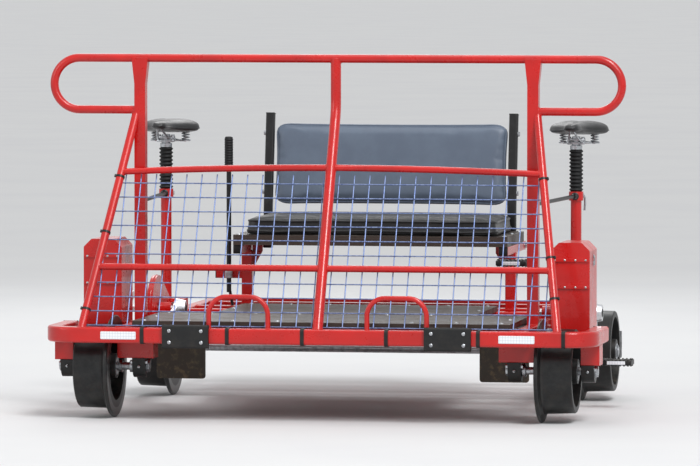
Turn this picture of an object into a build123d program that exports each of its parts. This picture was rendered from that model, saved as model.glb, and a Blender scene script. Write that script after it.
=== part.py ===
from build123d import *
import os
from math import cos, radians, sin

# Pedal rail cycle for four people: a red tubular frame on four flanged wheels,
# two saddles with pedals at the sides and a bench between them.
# Millimetres. +Z is up, the front faces -Y and +X is the vehicle's own left.
# The origin is on the floor under the middle of the vehicle.

os.makedirs("parts", exist_ok=True)

# Driving dimensions. Heights are taken from the rail head and depths from the
# bumper's front face, because that is how such a vehicle is measured.
flange_depth = 28
pad_proud = 12
tail_depth = 1750
overall_width = 1888


def up(height):
    """Z of a height above the rail head: the wheels stand on their flanges."""
    return height + flange_depth


def back(depth):
    """Y of a depth behind the bumper's front face."""
    return depth - (tail_depth - pad_proud) / 2


def across(depth, height):
    """A plane across the vehicle's length: local x is +Y, local y is +Z, normal +X."""
    return Plane(origin=(0, back(depth), up(height)), x_dir=(0, 1, 0), z_dir=(1, 0, 0))


def upright(depth):
    """A plane across the vehicle's width: local x is +X, local y is +Z, normal -Y."""
    return Plane(origin=(0, back(depth), up(0)), x_dir=(1, 0, 0), z_dir=(0, -1, 0))


# Ladder frame of box tube
rail_x, rail_wide, rail_tall, rail_low = 644, 40, 50, 224
rail_top = rail_low + rail_tall
rail_inner, rail_outer = rail_x - rail_wide / 2, rail_x + rail_wide / 2
rear_beam_depth, rear_beam_deep = 1620, 50
flap_member, saddle_member, bench_member = 505, 1020, 1210
cross_depths = (110, flap_member, saddle_member, bench_member, 1440)
cross_deep = 40

# Bumper
bumper_half, bumper_tube, bumper_bend, bumper_return = 894, 50, 80, 330
bumper_corner = 8
strap_places = (-566, -289, -46, 225, 520, 792)
strap_wide, strap_thick = 12, 2.5
pad_x, pad_wide, pad_low, pad_top, pad_deep = 423, 150, 210, 285, 10
strip_x, strip_wide, strip_tall, strip_thick = 643, 115, 25, 1.5
hoop_x, hoop_half, hoop_top, hoop_tube, hoop_depth = 256, 96, 375, 16, 20

# Handrail and its posts
handrail_tube, handrail_height, handrail_drop, handrail_depth = 26.9, 1128, 168, 370
post_side, post_flare, flare_tall = 36, 54, 70

# Inclined guard in front of the bench, between its two side tubes
guard_tube, guard_rail_tube, upright_tube = 26.9, 21.3, 33.7
guard_foot_x, guard_foot_depth = 768, 30
guard_head_x, guard_head_height = 656, 958
upper_rail_up, mid_rail_up, upper_rail_bow = 545, 210, 18
mesh_pitch, mesh_wire, mesh_weld, mesh_foot = 50, 4, 1, 12

# Wheels
tread_radius, wheel_inner, wheel_outer = 137, 690, 808
flange_radius = tread_radius + flange_depth
front_axle_depth, rear_axle_depth = 205, 1170
hub_radius, hub_outer, web_radius = 40, 812, 110
front_axle_radius, rear_axle_radius = 12.5, 15
running_clearance = 0.1
axle_height = tread_radius

# Cranks and pedals
crank_depth, crank_height, crank_throw = 756, 290, 170
crank_x, arm_plane, arm_thick = 695, 95.5, 15
spindle_radius, pedal_pin_radius = 10, 6
boss_radius, boss_rim, boss_proud = 34, 27, 20
pedal_offset, pedal_wide, pedal_long, pedal_thick = 168, 100, 84, 24

# Chain cases
case_inner, case_outer, case_front_radius, case_rear_radius = 664, 684, 110, 50
case_clear = 5

# Saddles
saddle_x, saddle_depth, saddle_post_radius = 694, 1030, 18
saddle_post_top, pillar_top, saddle_base, saddle_top = 676, 816, 853, 914

# Bench
bench_half, bench_side_x, bench_tube, bench_leg = 435, 450, 30, 36
bench_front, bench_rear, bench_rest = 1030, 1420, 489
seat_pan_thick, seat_top = 34, 583
back_half, back_low, back_top, back_thick, back_lean = 405, 600, 903, 45, 9
back_post_wide, back_post_deep, back_post_top = 30, 25, 916
back_post_x = back_half + back_post_wide / 2

# Floor and boxes
floor_top, floor_front, floor_step, floor_rear, floor_half, floor_narrow = 292, 72, 525, 1040, 612, 430
box_inner, box_outer, box_front, box_back, box_low, box_top = 704, 830, 348, 522, 235, 540
box_chamfer, lid_height, lip_height, lip_proud = 26, 484, 397, 5

# Parking brake
lever_x, lever_depth, lever_top, lever_low, lever_radius, grip_long = -510, 1187, 845, 320, 8, 110
lever_bar_end, lever_bar_height = 555, 382
beam_depth, beam_height, beam_radius = 1365, 150, 13

pieces = {}
sides = {"left": 1, "right": -1}

# Side rails and the members between them
with BuildPart() as side_rails:
    with BuildSketch(upright(bumper_tube)):
        with Locations((rail_x, rail_low + rail_tall / 2)):
            RectangleRounded(rail_wide, rail_tall, 4)
    extrude(amount=-(rear_beam_depth - bumper_tube))
    mirror(about=Plane.YZ)
pieces["side_rails"] = side_rails

with BuildPart() as cross_members:
    for depth in cross_depths:
        with BuildSketch(across(depth, rail_low + rail_tall / 2)):
            RectangleRounded(cross_deep, rail_tall, 4)
        extrude(amount=rail_inner, both=True)
pieces["cross_members"] = cross_members

with BuildPart() as rear_beam:
    with BuildSketch(across(rear_beam_depth + rear_beam_deep / 2, rail_low + rail_tall / 2)):
        RectangleRounded(rear_beam_deep, rail_tall, 4)
    extrude(amount=rail_outer, both=True)
pieces["rear_beam"] = rear_beam

# Bumper: one box tube bent back round the front wheels
bumper_axis = bumper_half - bumper_tube / 2
bumper_mid = rail_low + bumper_tube / 2
with BuildPart() as front_bumper:
    with BuildLine():
        bumper_path = FilletPolyline(
            (-bumper_axis, back(bumper_return), up(bumper_mid)),
            (-bumper_axis, back(bumper_tube / 2), up(bumper_mid)),
            (bumper_axis, back(bumper_tube / 2), up(bumper_mid)),
            (bumper_axis, back(bumper_return), up(bumper_mid)),
            radius=bumper_bend,
        )
    with BuildSketch(Plane(origin=bumper_path @ 0, x_dir=(1, 0, 0), z_dir=bumper_path % 0)):
        RectangleRounded(bumper_tube, bumper_tube, bumper_corner)
    sweep()
pieces["front_bumper"] = front_bumper

with BuildPart() as bumper_straps:
    for place in strap_places:
        with BuildSketch(across(bumper_tube / 2, bumper_mid).offset(place - strap_wide / 2)):
            outside = bumper_tube + 2 * strap_thick
            RectangleRounded(outside, outside, bumper_corner + strap_thick)
            RectangleRounded(bumper_tube, bumper_tube, bumper_corner, mode=Mode.SUBTRACT)
        extrude(amount=strap_wide)
    add(front_bumper.part, mode=Mode.SUBTRACT)
pieces["bumper_straps"] = bumper_straps

with BuildPart() as bumper_pads:
    with BuildSketch(across(0, 0).offset(pad_x - pad_wide / 2)):
        with Locations(((pad_deep - pad_proud) / 2, (pad_low + pad_top) / 2)):
            RectangleRounded(pad_deep + pad_proud, pad_top - pad_low, 7)
        with Locations((bumper_tube / 2, bumper_mid)):
            RectangleRounded(bumper_tube, bumper_tube, bumper_corner, mode=Mode.SUBTRACT)
    extrude(amount=pad_wide)
    mirror(about=Plane.YZ)
pieces["bumper_pads"] = bumper_pads

with BuildPart() as reflector_strips:
    with BuildSketch(upright(0)):
        with Locations((strip_x, bumper_mid), (-strip_x, bumper_mid)):
            RectangleRounded(strip_wide, strip_tall, 3)
    extrude(amount=strip_thick)
pieces["reflector_strips"] = reflector_strips

with BuildPart() as lift_hoops:
    for centre in (-hoop_x, hoop_x):
        with BuildLine():
            hoop_path = FilletPolyline(
                (centre - hoop_half, back(hoop_depth), up(rail_top)),
                (centre - hoop_half, back(hoop_depth), up(hoop_top)),
                (centre + hoop_half, back(hoop_depth), up(hoop_top)),
                (centre + hoop_half, back(hoop_depth), up(rail_top)),
                radius=58,
            )
        with BuildSketch(Plane(origin=hoop_path @ 0, z_dir=hoop_path % 0)):
            Circle(hoop_tube / 2)
        sweep()
pieces["lift_hoops"] = lift_hoops

# Handrail: one tube whose ends turn down and back to the posts as loops
loop_radius = handrail_drop / 2
loop_x = overall_width / 2 - handrail_tube / 2 - loop_radius
loop_mid = handrail_height - loop_radius
post_outer = rail_x + post_side / 2
with BuildPart() as handrail:
    with BuildLine(upright(handrail_depth)):
        Line((-post_outer, handrail_height - handrail_drop), (-loop_x, handrail_height - handrail_drop))
        ThreePointArc(
            (-loop_x, handrail_height - handrail_drop),
            (-loop_x - loop_radius, loop_mid),
            (-loop_x, handrail_height),
        )
        Line((-loop_x, handrail_height), (loop_x, handrail_height))
        ThreePointArc(
            (loop_x, handrail_height),
            (loop_x + loop_radius, loop_mid),
            (loop_x, handrail_height - handrail_drop),
        )
        Line((loop_x, handrail_height - handrail_drop), (post_outer, handrail_height - handrail_drop))
    lower_leg = (-post_outer, back(handrail_depth), up(handrail_height - handrail_drop))
    with BuildSketch(Plane(origin=lower_leg, z_dir=(-1, 0, 0))):
        Circle(handrail_tube / 2)
    sweep()
pieces["handrail"] = handrail

with BuildPart() as front_posts:
    flare_low = handrail_height - flare_tall - handrail_tube / 2
    half, wide = post_side / 2, post_flare / 2
    with BuildSketch(upright(handrail_depth)):
        Polygon(
            (rail_x - half, rail_top),
            (rail_x + half, rail_top),
            (rail_x + half, flare_low),
            (rail_x + wide, handrail_height),
            (rail_x - wide, handrail_height),
            (rail_x - half, flare_low),
            align=None,
        )
    extrude(amount=half, both=True)
    add(handrail.part, mode=Mode.SUBTRACT)
    mirror(about=Plane.YZ)
pieces["front_posts"] = front_posts

# The guard's own plane: local x is +X, local y runs up its slope, normal forwards
guard_rise = guard_head_height - rail_top
guard_run = handrail_depth - guard_foot_depth
guard_slope = Vector(0, guard_run, guard_rise)
guard_long = guard_slope.length
guard_normal = Vector(1, 0, 0).cross(guard_slope).normalized()
guard_plane = Plane(
    origin=(0, back(guard_foot_depth), up(rail_top)), x_dir=(1, 0, 0), z_dir=guard_normal
)
guard_taper = (guard_foot_x - guard_head_x) / guard_long
buried = 25


def guard_half(distance_up):
    """Half the width between the guard's side tubes at a distance up its slope."""
    return guard_foot_x - guard_taper * distance_up


with BuildPart() as guard_side_tubes:
    foot = guard_plane.from_local_coords((guard_half(-buried), -buried, 0))
    head = guard_plane.from_local_coords((guard_half(guard_long), guard_long, 0))
    with BuildLine():
        tube_path = Line(foot, head)
    with BuildSketch(Plane(origin=foot, z_dir=tube_path % 0)):
        Circle(guard_tube / 2)
    sweep()
    mirror(about=Plane.YZ)
    add(front_posts.part, mode=Mode.SUBTRACT)
    add(handrail.part, mode=Mode.SUBTRACT)
    add(front_bumper.part, mode=Mode.SUBTRACT)
pieces["guard_side_tubes"] = guard_side_tubes

with BuildPart() as centre_upright:
    forward = (upright_tube - guard_tube) / 2
    foot = guard_plane.from_local_coords((0, -buried, forward))
    knee = guard_plane.from_local_coords((0, guard_long, forward))
    with BuildLine():
        upright_path = FilletPolyline(
            foot, knee, (0, back(handrail_depth) - forward, up(handrail_height)), radius=150
        )
    with BuildSketch(Plane(origin=foot, z_dir=upright_path % 0)):
        Circle(upright_tube / 2)
    sweep()
    add(handrail.part, mode=Mode.SUBTRACT)
    add(front_bumper.part, mode=Mode.SUBTRACT)
pieces["centre_upright"] = centre_upright

with BuildPart() as guard_rails:
    end = guard_half(upper_rail_up)
    with BuildLine(guard_plane):
        rail_path = ThreePointArc((-end, upper_rail_up), (0, upper_rail_up + upper_rail_bow), (end, upper_rail_up))
    with BuildSketch(Plane(origin=rail_path @ 0, x_dir=guard_normal, z_dir=rail_path % 0)):
        Circle(guard_rail_tube / 2)
    sweep()
    end = guard_half(mid_rail_up)
    mid_rail_start = guard_plane.from_local_coords((-end, mid_rail_up, 0))
    with BuildSketch(Plane(origin=mid_rail_start, x_dir=guard_normal, z_dir=(1, 0, 0))):
        Circle(guard_rail_tube / 2)
    extrude(amount=2 * end)
    add(guard_side_tubes.part, mode=Mode.SUBTRACT)
    add(centre_upright.part, mode=Mode.SUBTRACT)
    split(bisect_by=Plane.YZ, keep=Keep.BOTTOM)
    mirror(about=Plane.YZ)
pieces["guard_rails"] = guard_rails

# Welded mesh behind the guard's tubes: level wires in front, sloping wires behind
level_wires = [mesh_foot + mesh_pitch * row for row in range(11)]
slope_wires = [mesh_pitch * (column + 0.5) for column in range(15)]
with BuildPart() as guard_mesh:
    with BuildSketch(guard_plane.offset(-guard_tube / 2 - mesh_wire)):
        for row in level_wires:
            with Locations((0, row)):
                Rectangle(2 * guard_half(row), mesh_wire)
    extrude(amount=mesh_wire)
    with BuildSketch(guard_plane.offset(-guard_tube / 2 - mesh_wire + mesh_weld)):
        for column in slope_wires:
            limit = min(upper_rail_up, (guard_foot_x - column) / guard_taper)
            for place in (-column, column):
                with Locations((place, (mesh_foot + limit) / 2)):
                    Rectangle(mesh_wire, limit - mesh_foot)
    extrude(amount=-mesh_wire)
pieces["guard_mesh"] = guard_mesh

# Floor of thick dark board, and the flaps hung in front of the inner pedals
with BuildPart() as floor_plate:
    with BuildSketch(Plane.XY.offset(up(rail_top))):
        Polygon(
            (-floor_half, back(floor_front)),
            (floor_half, back(floor_front)),
            (floor_half, back(floor_step)),
            (floor_narrow, back(floor_step)),
            (floor_narrow, back(floor_rear)),
            (-floor_narrow, back(floor_rear)),
            (-floor_narrow, back(floor_step)),
            (-floor_half, back(floor_step)),
            align=None,
        )
    extrude(amount=floor_top - rail_top)
pieces["floor_plate"] = floor_plate

flap_inner, flap_outer, flap_low, flap_thick = 453, 615, 78, 5
with BuildPart() as pedal_flaps:
    with BuildSketch(upright(flap_member - cross_deep / 2)):
        for side in sides.values():
            with Locations((side * (flap_inner + flap_outer) / 2, (flap_low + rail_top) / 2)):
                RectangleRounded(flap_outer - flap_inner, rail_top - flap_low, 10)
    extrude(amount=flap_thick)
pieces["pedal_flaps"] = pedal_flaps

# Tall closed boxes behind the front wheels: chamfered tops, a lid's edge and a lip across the front
box_mid, box_wide = (box_inner + box_outer) / 2, box_outer - box_inner
with BuildPart() as side_boxes:
    with BuildSketch(upright(box_back)) as box_section:
        with Locations((box_mid, (box_low + box_top) / 2)):
            Rectangle(box_wide, box_top - box_low)
        chamfer(box_section.vertices().group_by(Axis.Z)[-1], length=box_chamfer)
        fillet(box_section.vertices().group_by(Axis.Z)[0], radius=8)
    extrude(amount=box_back - box_front)
    with BuildSketch(upright(box_front)):
        for height in (lid_height, lip_height):
            with Locations((box_mid, height)):
                RectangleRounded(box_wide - 4, 10, 3)
    extrude(amount=lip_proud)
    with BuildSketch(across((box_front + box_back) / 2, box_low + 19).offset(rail_outer)):
        RectangleRounded(60, 30, 4)
    extrude(amount=box_inner - rail_outer)
    mirror(about=Plane.YZ)
pieces["side_boxes"] = side_boxes

# Wheel brackets: red carriers under the frame, black bearing blocks below them
carrier_half, eye_radius = 40, 36
inner_carrier, inner_bearing, inner_seat = (562, 680), (590, 632), 165
outer_carrier, outer_bearing, outer_seat = (826, 886), (826, 868), 158
rear_bearing, rear_seat, rear_bearing_half = (rail_inner + 2, rail_outer - 2), 190, 58


def carrier(span, low, depth, half):
    """A block under the frame between two places across, down to a height."""
    with BuildSketch(across(depth, (low + rail_low) / 2).offset(span[0])) as block:
        RectangleRounded(2 * half, rail_low - low, 4)
    extrude(block.sketch, amount=span[1] - span[0])


def bearing(span, seat, depth, half, bore):
    """A bearing block between two places across: a round eye at the axle, wide at its seat."""
    with BuildSketch(across(depth, axle_height).offset(span[0])) as block:
        Circle(eye_radius)
        with Locations((0, seat - axle_height - 4)):
            Rectangle(2 * half, 8)
        make_hull()
        with Locations((0, seat - axle_height + eye_radius / 2)):
            Rectangle(2 * half, eye_radius, mode=Mode.SUBTRACT)
        Circle(bore, mode=Mode.SUBTRACT)
    extrude(block.sketch, amount=span[1] - span[0])


with BuildPart() as front_brackets:
    carrier(inner_carrier, inner_seat, front_axle_depth, carrier_half)
    carrier(outer_carrier, outer_seat, front_axle_depth, carrier_half)
    mirror(about=Plane.YZ)
pieces["front_brackets"] = front_brackets

with BuildPart() as axle_bearings:
    bearing(inner_bearing, inner_seat, front_axle_depth, carrier_half, front_axle_radius)
    bearing(outer_bearing, outer_seat, front_axle_depth, carrier_half, front_axle_radius)
    bearing(rear_bearing, rear_seat, rear_axle_depth, rear_bearing_half, rear_axle_radius + running_clearance)
    mirror(about=Plane.YZ)
pieces["axle_bearings"] = axle_bearings

axle_end = 10
with BuildPart() as front_axles:
    with BuildSketch(across(front_axle_depth, axle_height).offset(inner_bearing[0] - axle_end)):
        Circle(front_axle_radius)
    extrude(amount=outer_bearing[1] - inner_bearing[0] + 2 * axle_end)
    mirror(about=Plane.YZ)
pieces["front_axles"] = front_axles


def wheel(side, depth, bore):
    """A flanged wheel on a level axle: hub, thin web with round holes, rim, tread and flange."""
    hub_face = wheel_inner
    web_inner, web_outer = 730, 746
    section = Plane(origin=(0, back(depth), up(axle_height)), x_dir=(side, 0, 0), z_dir=(0, -side, 0))
    with BuildSketch(section) as half_section:
        with BuildLine():
            Polyline(
                (hub_face, bore),
                (hub_face, hub_radius),
                (web_inner, hub_radius + 4),
                (web_inner, web_radius),
                (wheel_inner, web_radius),
                (wheel_inner, flange_radius - 8),
            )
            ThreePointArc(
                (wheel_inner, flange_radius - 8),
                (wheel_inner + 7, flange_radius),
                (wheel_inner + 14, flange_radius - 7),
            )
            Polyline(
                (wheel_inner + 14, flange_radius - 7),
                (wheel_inner + 20, tread_radius + 5),
                (wheel_inner + 25, tread_radius),
                (wheel_outer - 3, tread_radius - 3),
                (wheel_outer, tread_radius - 6),
                (wheel_outer, web_radius + 4),
                (web_outer, web_radius),
                (web_outer, hub_radius + 4),
                (hub_outer, hub_radius),
                (hub_outer, bore),
                (hub_face, bore),
            )
        make_face()
    revolve(half_section.sketch, axis=Axis((0, back(depth), up(axle_height)), (1, 0, 0)))
    with BuildSketch(across(depth, axle_height).offset(side * web_inner)) as web_holes:
        with PolarLocations((hub_radius + web_radius) / 2, 6):
            Circle(17)
    extrude(web_holes.sketch, amount=side * (web_outer - web_inner), mode=Mode.SUBTRACT)


for name, side in sides.items():
    with BuildPart() as front_wheel:
        wheel(side, front_axle_depth, front_axle_radius + running_clearance)
    pieces[f"front_wheel_{name}"] = front_wheel

with BuildPart() as rear_wheels:
    for side in sides.values():
        wheel(side, rear_axle_depth, rear_axle_radius)
pieces["rear_wheels"] = rear_wheels

with BuildPart() as rear_axle:
    with BuildSketch(across(rear_axle_depth, axle_height)):
        Circle(rear_axle_radius)
    extrude(amount=hub_outer + 8, both=True)
pieces["rear_axle"] = rear_axle

# Rear carriers under the side rails, and the hangers of the brake beam
with BuildPart() as rear_brackets:
    carrier(rear_bearing, rear_seat, rear_axle_depth, rear_bearing_half + 10)
    with BuildSketch(across(beam_depth, beam_height).offset(rail_x - 5)):
        Circle(22)
        with Locations((0, rail_low - beam_height - 5)):
            Rectangle(60, 10)
        make_hull()
        Circle(beam_radius, mode=Mode.SUBTRACT)
    extrude(amount=10)
    mirror(about=Plane.YZ)
pieces["rear_brackets"] = rear_brackets

# Chain cases: teardrop covers from the crank down to the rear axle
chain_run = rear_axle_depth - crank_depth
chain_drop = axle_height - crank_height
with BuildPart() as chain_cases:
    with BuildSketch(across(crank_depth, crank_height).offset(case_inner)):
        Circle(case_front_radius)
        with Locations((chain_run, chain_drop)):
            Circle(case_rear_radius)
        make_hull()
        Circle(spindle_radius + case_clear, mode=Mode.SUBTRACT)
        with Locations((chain_run, chain_drop)):
            Circle(rear_axle_radius + case_clear, mode=Mode.SUBTRACT)
    extrude(amount=case_outer - case_inner)
    fillet(chain_cases.edges().group_by(Axis.X)[-1], radius=4)
    mirror(about=Plane.YZ)
pieces["chain_cases"] = chain_cases

# Crank bearings: a block on each side rail, and a boss on each chain case
bearing_radius, bearing_foot = 21, 10
with BuildPart() as crank_bearings:
    with BuildSketch(across(crank_depth, crank_height).offset(rail_inner - 4)):
        Circle(bearing_radius)
        with Locations((0, rail_top - crank_height + bearing_foot / 2)):
            Rectangle(56, bearing_foot)
        with Locations((0, rail_top - crank_height - bearing_radius / 2)):
            Rectangle(2 * bearing_radius, bearing_radius, mode=Mode.SUBTRACT)
        Circle(spindle_radius + running_clearance, mode=Mode.SUBTRACT)
    extrude(amount=rail_wide)
    with BuildSketch(across(crank_depth, crank_height).offset(case_outer)):
        Circle(24)
        Circle(spindle_radius + running_clearance, mode=Mode.SUBTRACT)
    extrude(amount=45)
    mirror(about=Plane.YZ)
pieces["crank_bearings"] = crank_bearings

# Cranks and pedals. The outer arm's direction at rest, in degrees up from the rear
outer_arm_angle = {"left": -75, "right": 12}
for name, side in sides.items():
    with BuildPart() as crank:
        with BuildSketch(across(crank_depth, crank_height).offset(side * crank_x)):
            Circle(spindle_radius)
        extrude(amount=arm_plane - arm_thick / 2, both=True)
        for reach in (1, -1):
            turn = radians(outer_arm_angle[name] + (0 if reach == 1 else 180))
            tip = (crank_throw * cos(turn), crank_throw * sin(turn))
            inner_face = side * (crank_x + reach * (arm_plane - arm_thick / 2))
            outward = side * reach
            with BuildSketch(across(crank_depth, crank_height).offset(inner_face)):
                Circle(19)
                with Locations(tip):
                    Circle(13)
                make_hull()
            extrude(amount=outward * arm_thick)
            with BuildSketch(across(crank_depth, crank_height).offset(inner_face + outward * arm_thick)):
                with Locations(tip):
                    Circle(pedal_pin_radius)
            extrude(amount=outward * (pedal_offset + 40 - arm_plane - arm_thick / 2))
            with BuildSketch(across(crank_depth, crank_height).offset(inner_face)) as boss_foot:
                Circle(boss_radius)
            boss_top = across(crank_depth, crank_height).offset(inner_face + outward * (arm_thick + boss_proud))
            with BuildSketch(boss_top) as boss_head:
                Circle(boss_rim)
            loft([boss_foot.sketch, boss_head.sketch])
    pieces[f"crank_{name}"] = crank

    for place, reach in (("outer", 1), ("inner", -1)):
        turn = radians(outer_arm_angle[name] + (0 if reach == 1 else 180))
        pedal_y = back(crank_depth) + crank_throw * cos(turn)
        pedal_z = up(crank_height) + crank_throw * sin(turn)
        pedal_mid = side * (crank_x + reach * pedal_offset)
        with BuildPart() as pedal:
            with BuildSketch(Plane(origin=(pedal_mid, pedal_y, pedal_z - pedal_thick / 2))):
                RectangleRounded(pedal_wide, pedal_long, 8)
                with Locations((0, 24), (0, -24)):
                    RectangleRounded(pedal_wide - 18, 20, 4, mode=Mode.SUBTRACT)
            extrude(amount=pedal_thick)
            with BuildSketch(Plane(origin=(pedal_mid, pedal_y, pedal_z), z_dir=(1, 0, 0))):
                Circle(pedal_pin_radius + running_clearance)
            extrude(amount=pedal_wide / 2, both=True, mode=Mode.SUBTRACT)
        pieces[f"pedal_{place}_{name}"] = pedal

# Saddle posts welded to brackets that step out from the side rails, and the sprung pillars in them
bracket_top, bracket_thick, collar_radius, collar_tall = 308, 12, 24, 30
with BuildPart() as saddle_posts:
    with BuildSketch(upright(saddle_depth)):
        Polygon(
            (rail_inner + 2, rail_top),
            (rail_outer - 2, rail_top),
            (rail_outer - 2, bracket_top - bracket_thick),
            (saddle_x + 24, bracket_top - bracket_thick),
            (saddle_x + 24, bracket_top),
            (rail_inner + 2, bracket_top),
            align=None,
        )
    extrude(amount=32, both=True)
    with Locations((saddle_x, back(saddle_depth), up(bracket_top))):
        Cylinder(
            saddle_post_radius,
            saddle_post_top - bracket_top,
            align=(Align.CENTER, Align.CENTER, Align.MIN),
        )
    with Locations((saddle_x, back(saddle_depth), up(saddle_post_top - collar_tall))):
        Cylinder(collar_radius, collar_tall, align=(Align.CENTER, Align.CENTER, Align.MIN))
    mirror(about=Plane.YZ)
pieces["saddle_posts"] = saddle_posts

with BuildPart() as saddle_pillars:
    with Locations((saddle_x, back(saddle_depth), up(saddle_post_top))):
        Cylinder(22, pillar_top - saddle_post_top, align=(Align.CENTER, Align.CENTER, Align.MIN))
    with Locations((saddle_x, back(saddle_depth), up(pillar_top))):
        Cylinder(30, saddle_base - pillar_top, align=(Align.CENTER, Align.CENTER, Align.MIN))
    mirror(about=Plane.YZ)
pieces["saddle_pillars"] = saddle_pillars

saddle_long, saddle_wide, saddle_nose = 270, 210, 60
with BuildPart() as saddles:
    with BuildSketch(Plane.XY.offset(up(saddle_base))):
        with Locations((saddle_x, back(saddle_depth + 45))):
            Ellipse(saddle_wide / 2, 80)
        with Locations((saddle_x, back(saddle_depth - 115))):
            Circle(saddle_nose / 2)
        make_hull()
    extrude(amount=saddle_top - saddle_base)
    fillet(saddles.edges().group_by(Axis.Z)[-1], radius=16)
    mirror(about=Plane.YZ)
pieces["saddles"] = saddles

tie_height, tie_radius = 661, 6.5
with BuildPart() as tie_rods:
    with BuildLine():
        tie_path = Line(
            (rail_x + 5, back(handrail_depth + post_side / 2), up(tie_height)),
            (saddle_x, back(saddle_depth - 5), up(tie_height)),
        )
    with BuildSketch(Plane(origin=tie_path @ 0, z_dir=(0, 1, 0))):
        Circle(tie_radius)
    sweep()
    add(saddle_posts.part, mode=Mode.SUBTRACT)
    mirror(about=Plane.YZ)
pieces["tie_rods"] = tie_rods

# Bench: a leg, gusset and bearer each side, and black back posts bolted inside the bearers
bearer_low = bench_rest - bench_tube
gusset_wide, gusset_tall = 34, 60
with BuildPart() as bench_frames:
    with BuildSketch(Plane.XY.offset(up(rail_top))):
        with Locations((bench_side_x, back(bench_member)), (-bench_side_x, back(bench_member))):
            RectangleRounded(bench_leg, bench_leg, 4)
    extrude(amount=bearer_low - rail_top)
    with BuildSketch(upright(bench_front)):
        for side in sides.values():
            with Locations((side * bench_side_x, bench_rest - bench_tube / 2)):
                RectangleRounded(bench_tube, bench_tube, 4)
    extrude(amount=-(bench_rear + back_post_deep - bench_front))
    with BuildSketch(upright(bench_member)):
        for side in sides.values():
            inner = side * (bench_side_x - bench_leg / 2)
            reach = inner - side * gusset_wide
            Polygon((inner, bearer_low - gusset_tall), (inner, bearer_low), (reach, bearer_low), align=None)
            Polygon((inner, bearer_low), (reach, bearer_low), (reach, bench_rest), (inner, bench_rest), align=None)
    extrude(amount=3, both=True)
    with BuildSketch(across(bench_member, lever_bar_height).offset(-bench_side_x - bench_leg / 2)):
        RectangleRounded(bench_tube, bench_tube, 4)
    extrude(amount=-(lever_bar_end - bench_side_x - bench_leg / 2))
pieces["bench_frames"] = bench_frames

with BuildPart() as bench_back_posts:
    post_depth = bench_rear + back_post_deep / 2
    back_rise = back_post_top - back_low
    with BuildLine():
        back_path = FilletPolyline(
            (back_post_x, back(post_depth), up(bearer_low)),
            (back_post_x, back(post_depth), up(back_low)),
            (back_post_x, back(post_depth) + back_rise * sin(radians(back_lean)), up(back_post_top)),
            radius=200,
        )
    with BuildSketch(Plane(origin=back_path @ 0, z_dir=(0, 0, 1))):
        RectangleRounded(back_post_wide, back_post_deep, 6)
    sweep()
    mirror(about=Plane.YZ)
pieces["bench_back_posts"] = bench_back_posts

with BuildPart() as bench_pan:
    with BuildSketch(Plane.XY.offset(up(bench_rest))):
        with Locations((0, back((bench_front + bench_rear) / 2 - 8))):
            RectangleRounded(2 * bench_side_x + bench_tube, bench_rear - bench_front + 12, 12)
    extrude(amount=seat_pan_thick)
pieces["bench_pan"] = bench_pan

with BuildPart() as bench_seat:
    with BuildSketch(Plane.XY.offset(up(bench_rest + seat_pan_thick))):
        with Locations((0, back((bench_front + bench_rear) / 2))):
            RectangleRounded(2 * bench_half, bench_rear - bench_front, 30)
    extrude(amount=seat_top - bench_rest - seat_pan_thick)
    fillet(bench_seat.edges().group_by(Axis.Z)[-1], radius=14)
pieces["bench_seat"] = bench_seat

with BuildPart() as bench_back:
    lean = Plane(
        origin=(0, back(bench_rear), up(back_low)),
        x_dir=(1, 0, 0),
        z_dir=(0, -cos(radians(back_lean)), sin(radians(back_lean))),
    )
    with BuildSketch(lean.offset(-back_thick)):
        with Locations((0, (back_top - back_low) / 2)):
            RectangleRounded(2 * back_half, back_top - back_low - 8, 24)
    extrude(amount=back_thick)
    fillet(bench_back.faces().sort_by(Axis.Y)[0].edges(), radius=10)
pieces["bench_back"] = bench_back

# Parking brake: lever beside the bench, rod, and a beam with shoes behind the rear wheels
with BuildPart() as brake_lever:
    with Locations((lever_x, back(lever_depth), up(lever_low))):
        Cylinder(lever_radius, lever_top - grip_long - lever_low, align=(Align.CENTER, Align.CENTER, Align.MIN))
    with Locations((lever_x, back(lever_depth), up(lever_top - grip_long))):
        Cylinder(13, grip_long, align=(Align.CENTER, Align.CENTER, Align.MIN))
pieces["brake_lever"] = brake_lever

rod_radius = 5
with BuildPart() as brake_beam:
    with BuildSketch(across(beam_depth, beam_height)):
        Circle(beam_radius)
    extrude(amount=wheel_outer - 4, both=True)
    for side in sides.values():
        with BuildSketch(across(rear_axle_depth, axle_height).offset(side * (wheel_inner + 28))):
            with Locations(((beam_depth - rear_axle_depth) - 20, 10)):
                RectangleRounded(60, 90, 8)
            Circle(tread_radius + 8, mode=Mode.SUBTRACT)
        extrude(amount=side * (wheel_outer - wheel_inner - 32))
    with BuildLine():
        rod_path = Line(
            (lever_x, back(lever_depth + lever_radius), up(lever_low + 14)),
            (lever_x, back(beam_depth), up(beam_height)),
        )
    with BuildSketch(Plane(origin=rod_path @ 0, z_dir=rod_path % 0)):
        Circle(rod_radius)
    sweep()
    add(brake_lever.part, mode=Mode.SUBTRACT)
pieces["brake_beam"] = brake_beam

# Towing plate behind the rear beam, with its pin hole
tow_wide, tow_thick, tow_bore = 90, 12, 12.5
tow_hole_depth = tail_depth - tow_wide / 2
with BuildPart() as tow_plate:
    with BuildSketch(Plane.XY.offset(up(rail_low + rail_tall / 2 - tow_thick / 2))):
        with Locations((0, back(tow_hole_depth))):
            Circle(tow_wide / 2)
        with Locations((0, back((rear_beam_depth + rear_beam_deep + tow_hole_depth) / 2))):
            Rectangle(tow_wide, tow_hole_depth - rear_beam_depth - rear_beam_deep)
        with Locations((0, back(tow_hole_depth))):
            Circle(tow_bore, mode=Mode.SUBTRACT)
    extrude(amount=tow_thick)
    add(rear_beam.part, mode=Mode.SUBTRACT)
pieces["tow_plate"] = tow_plate

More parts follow.
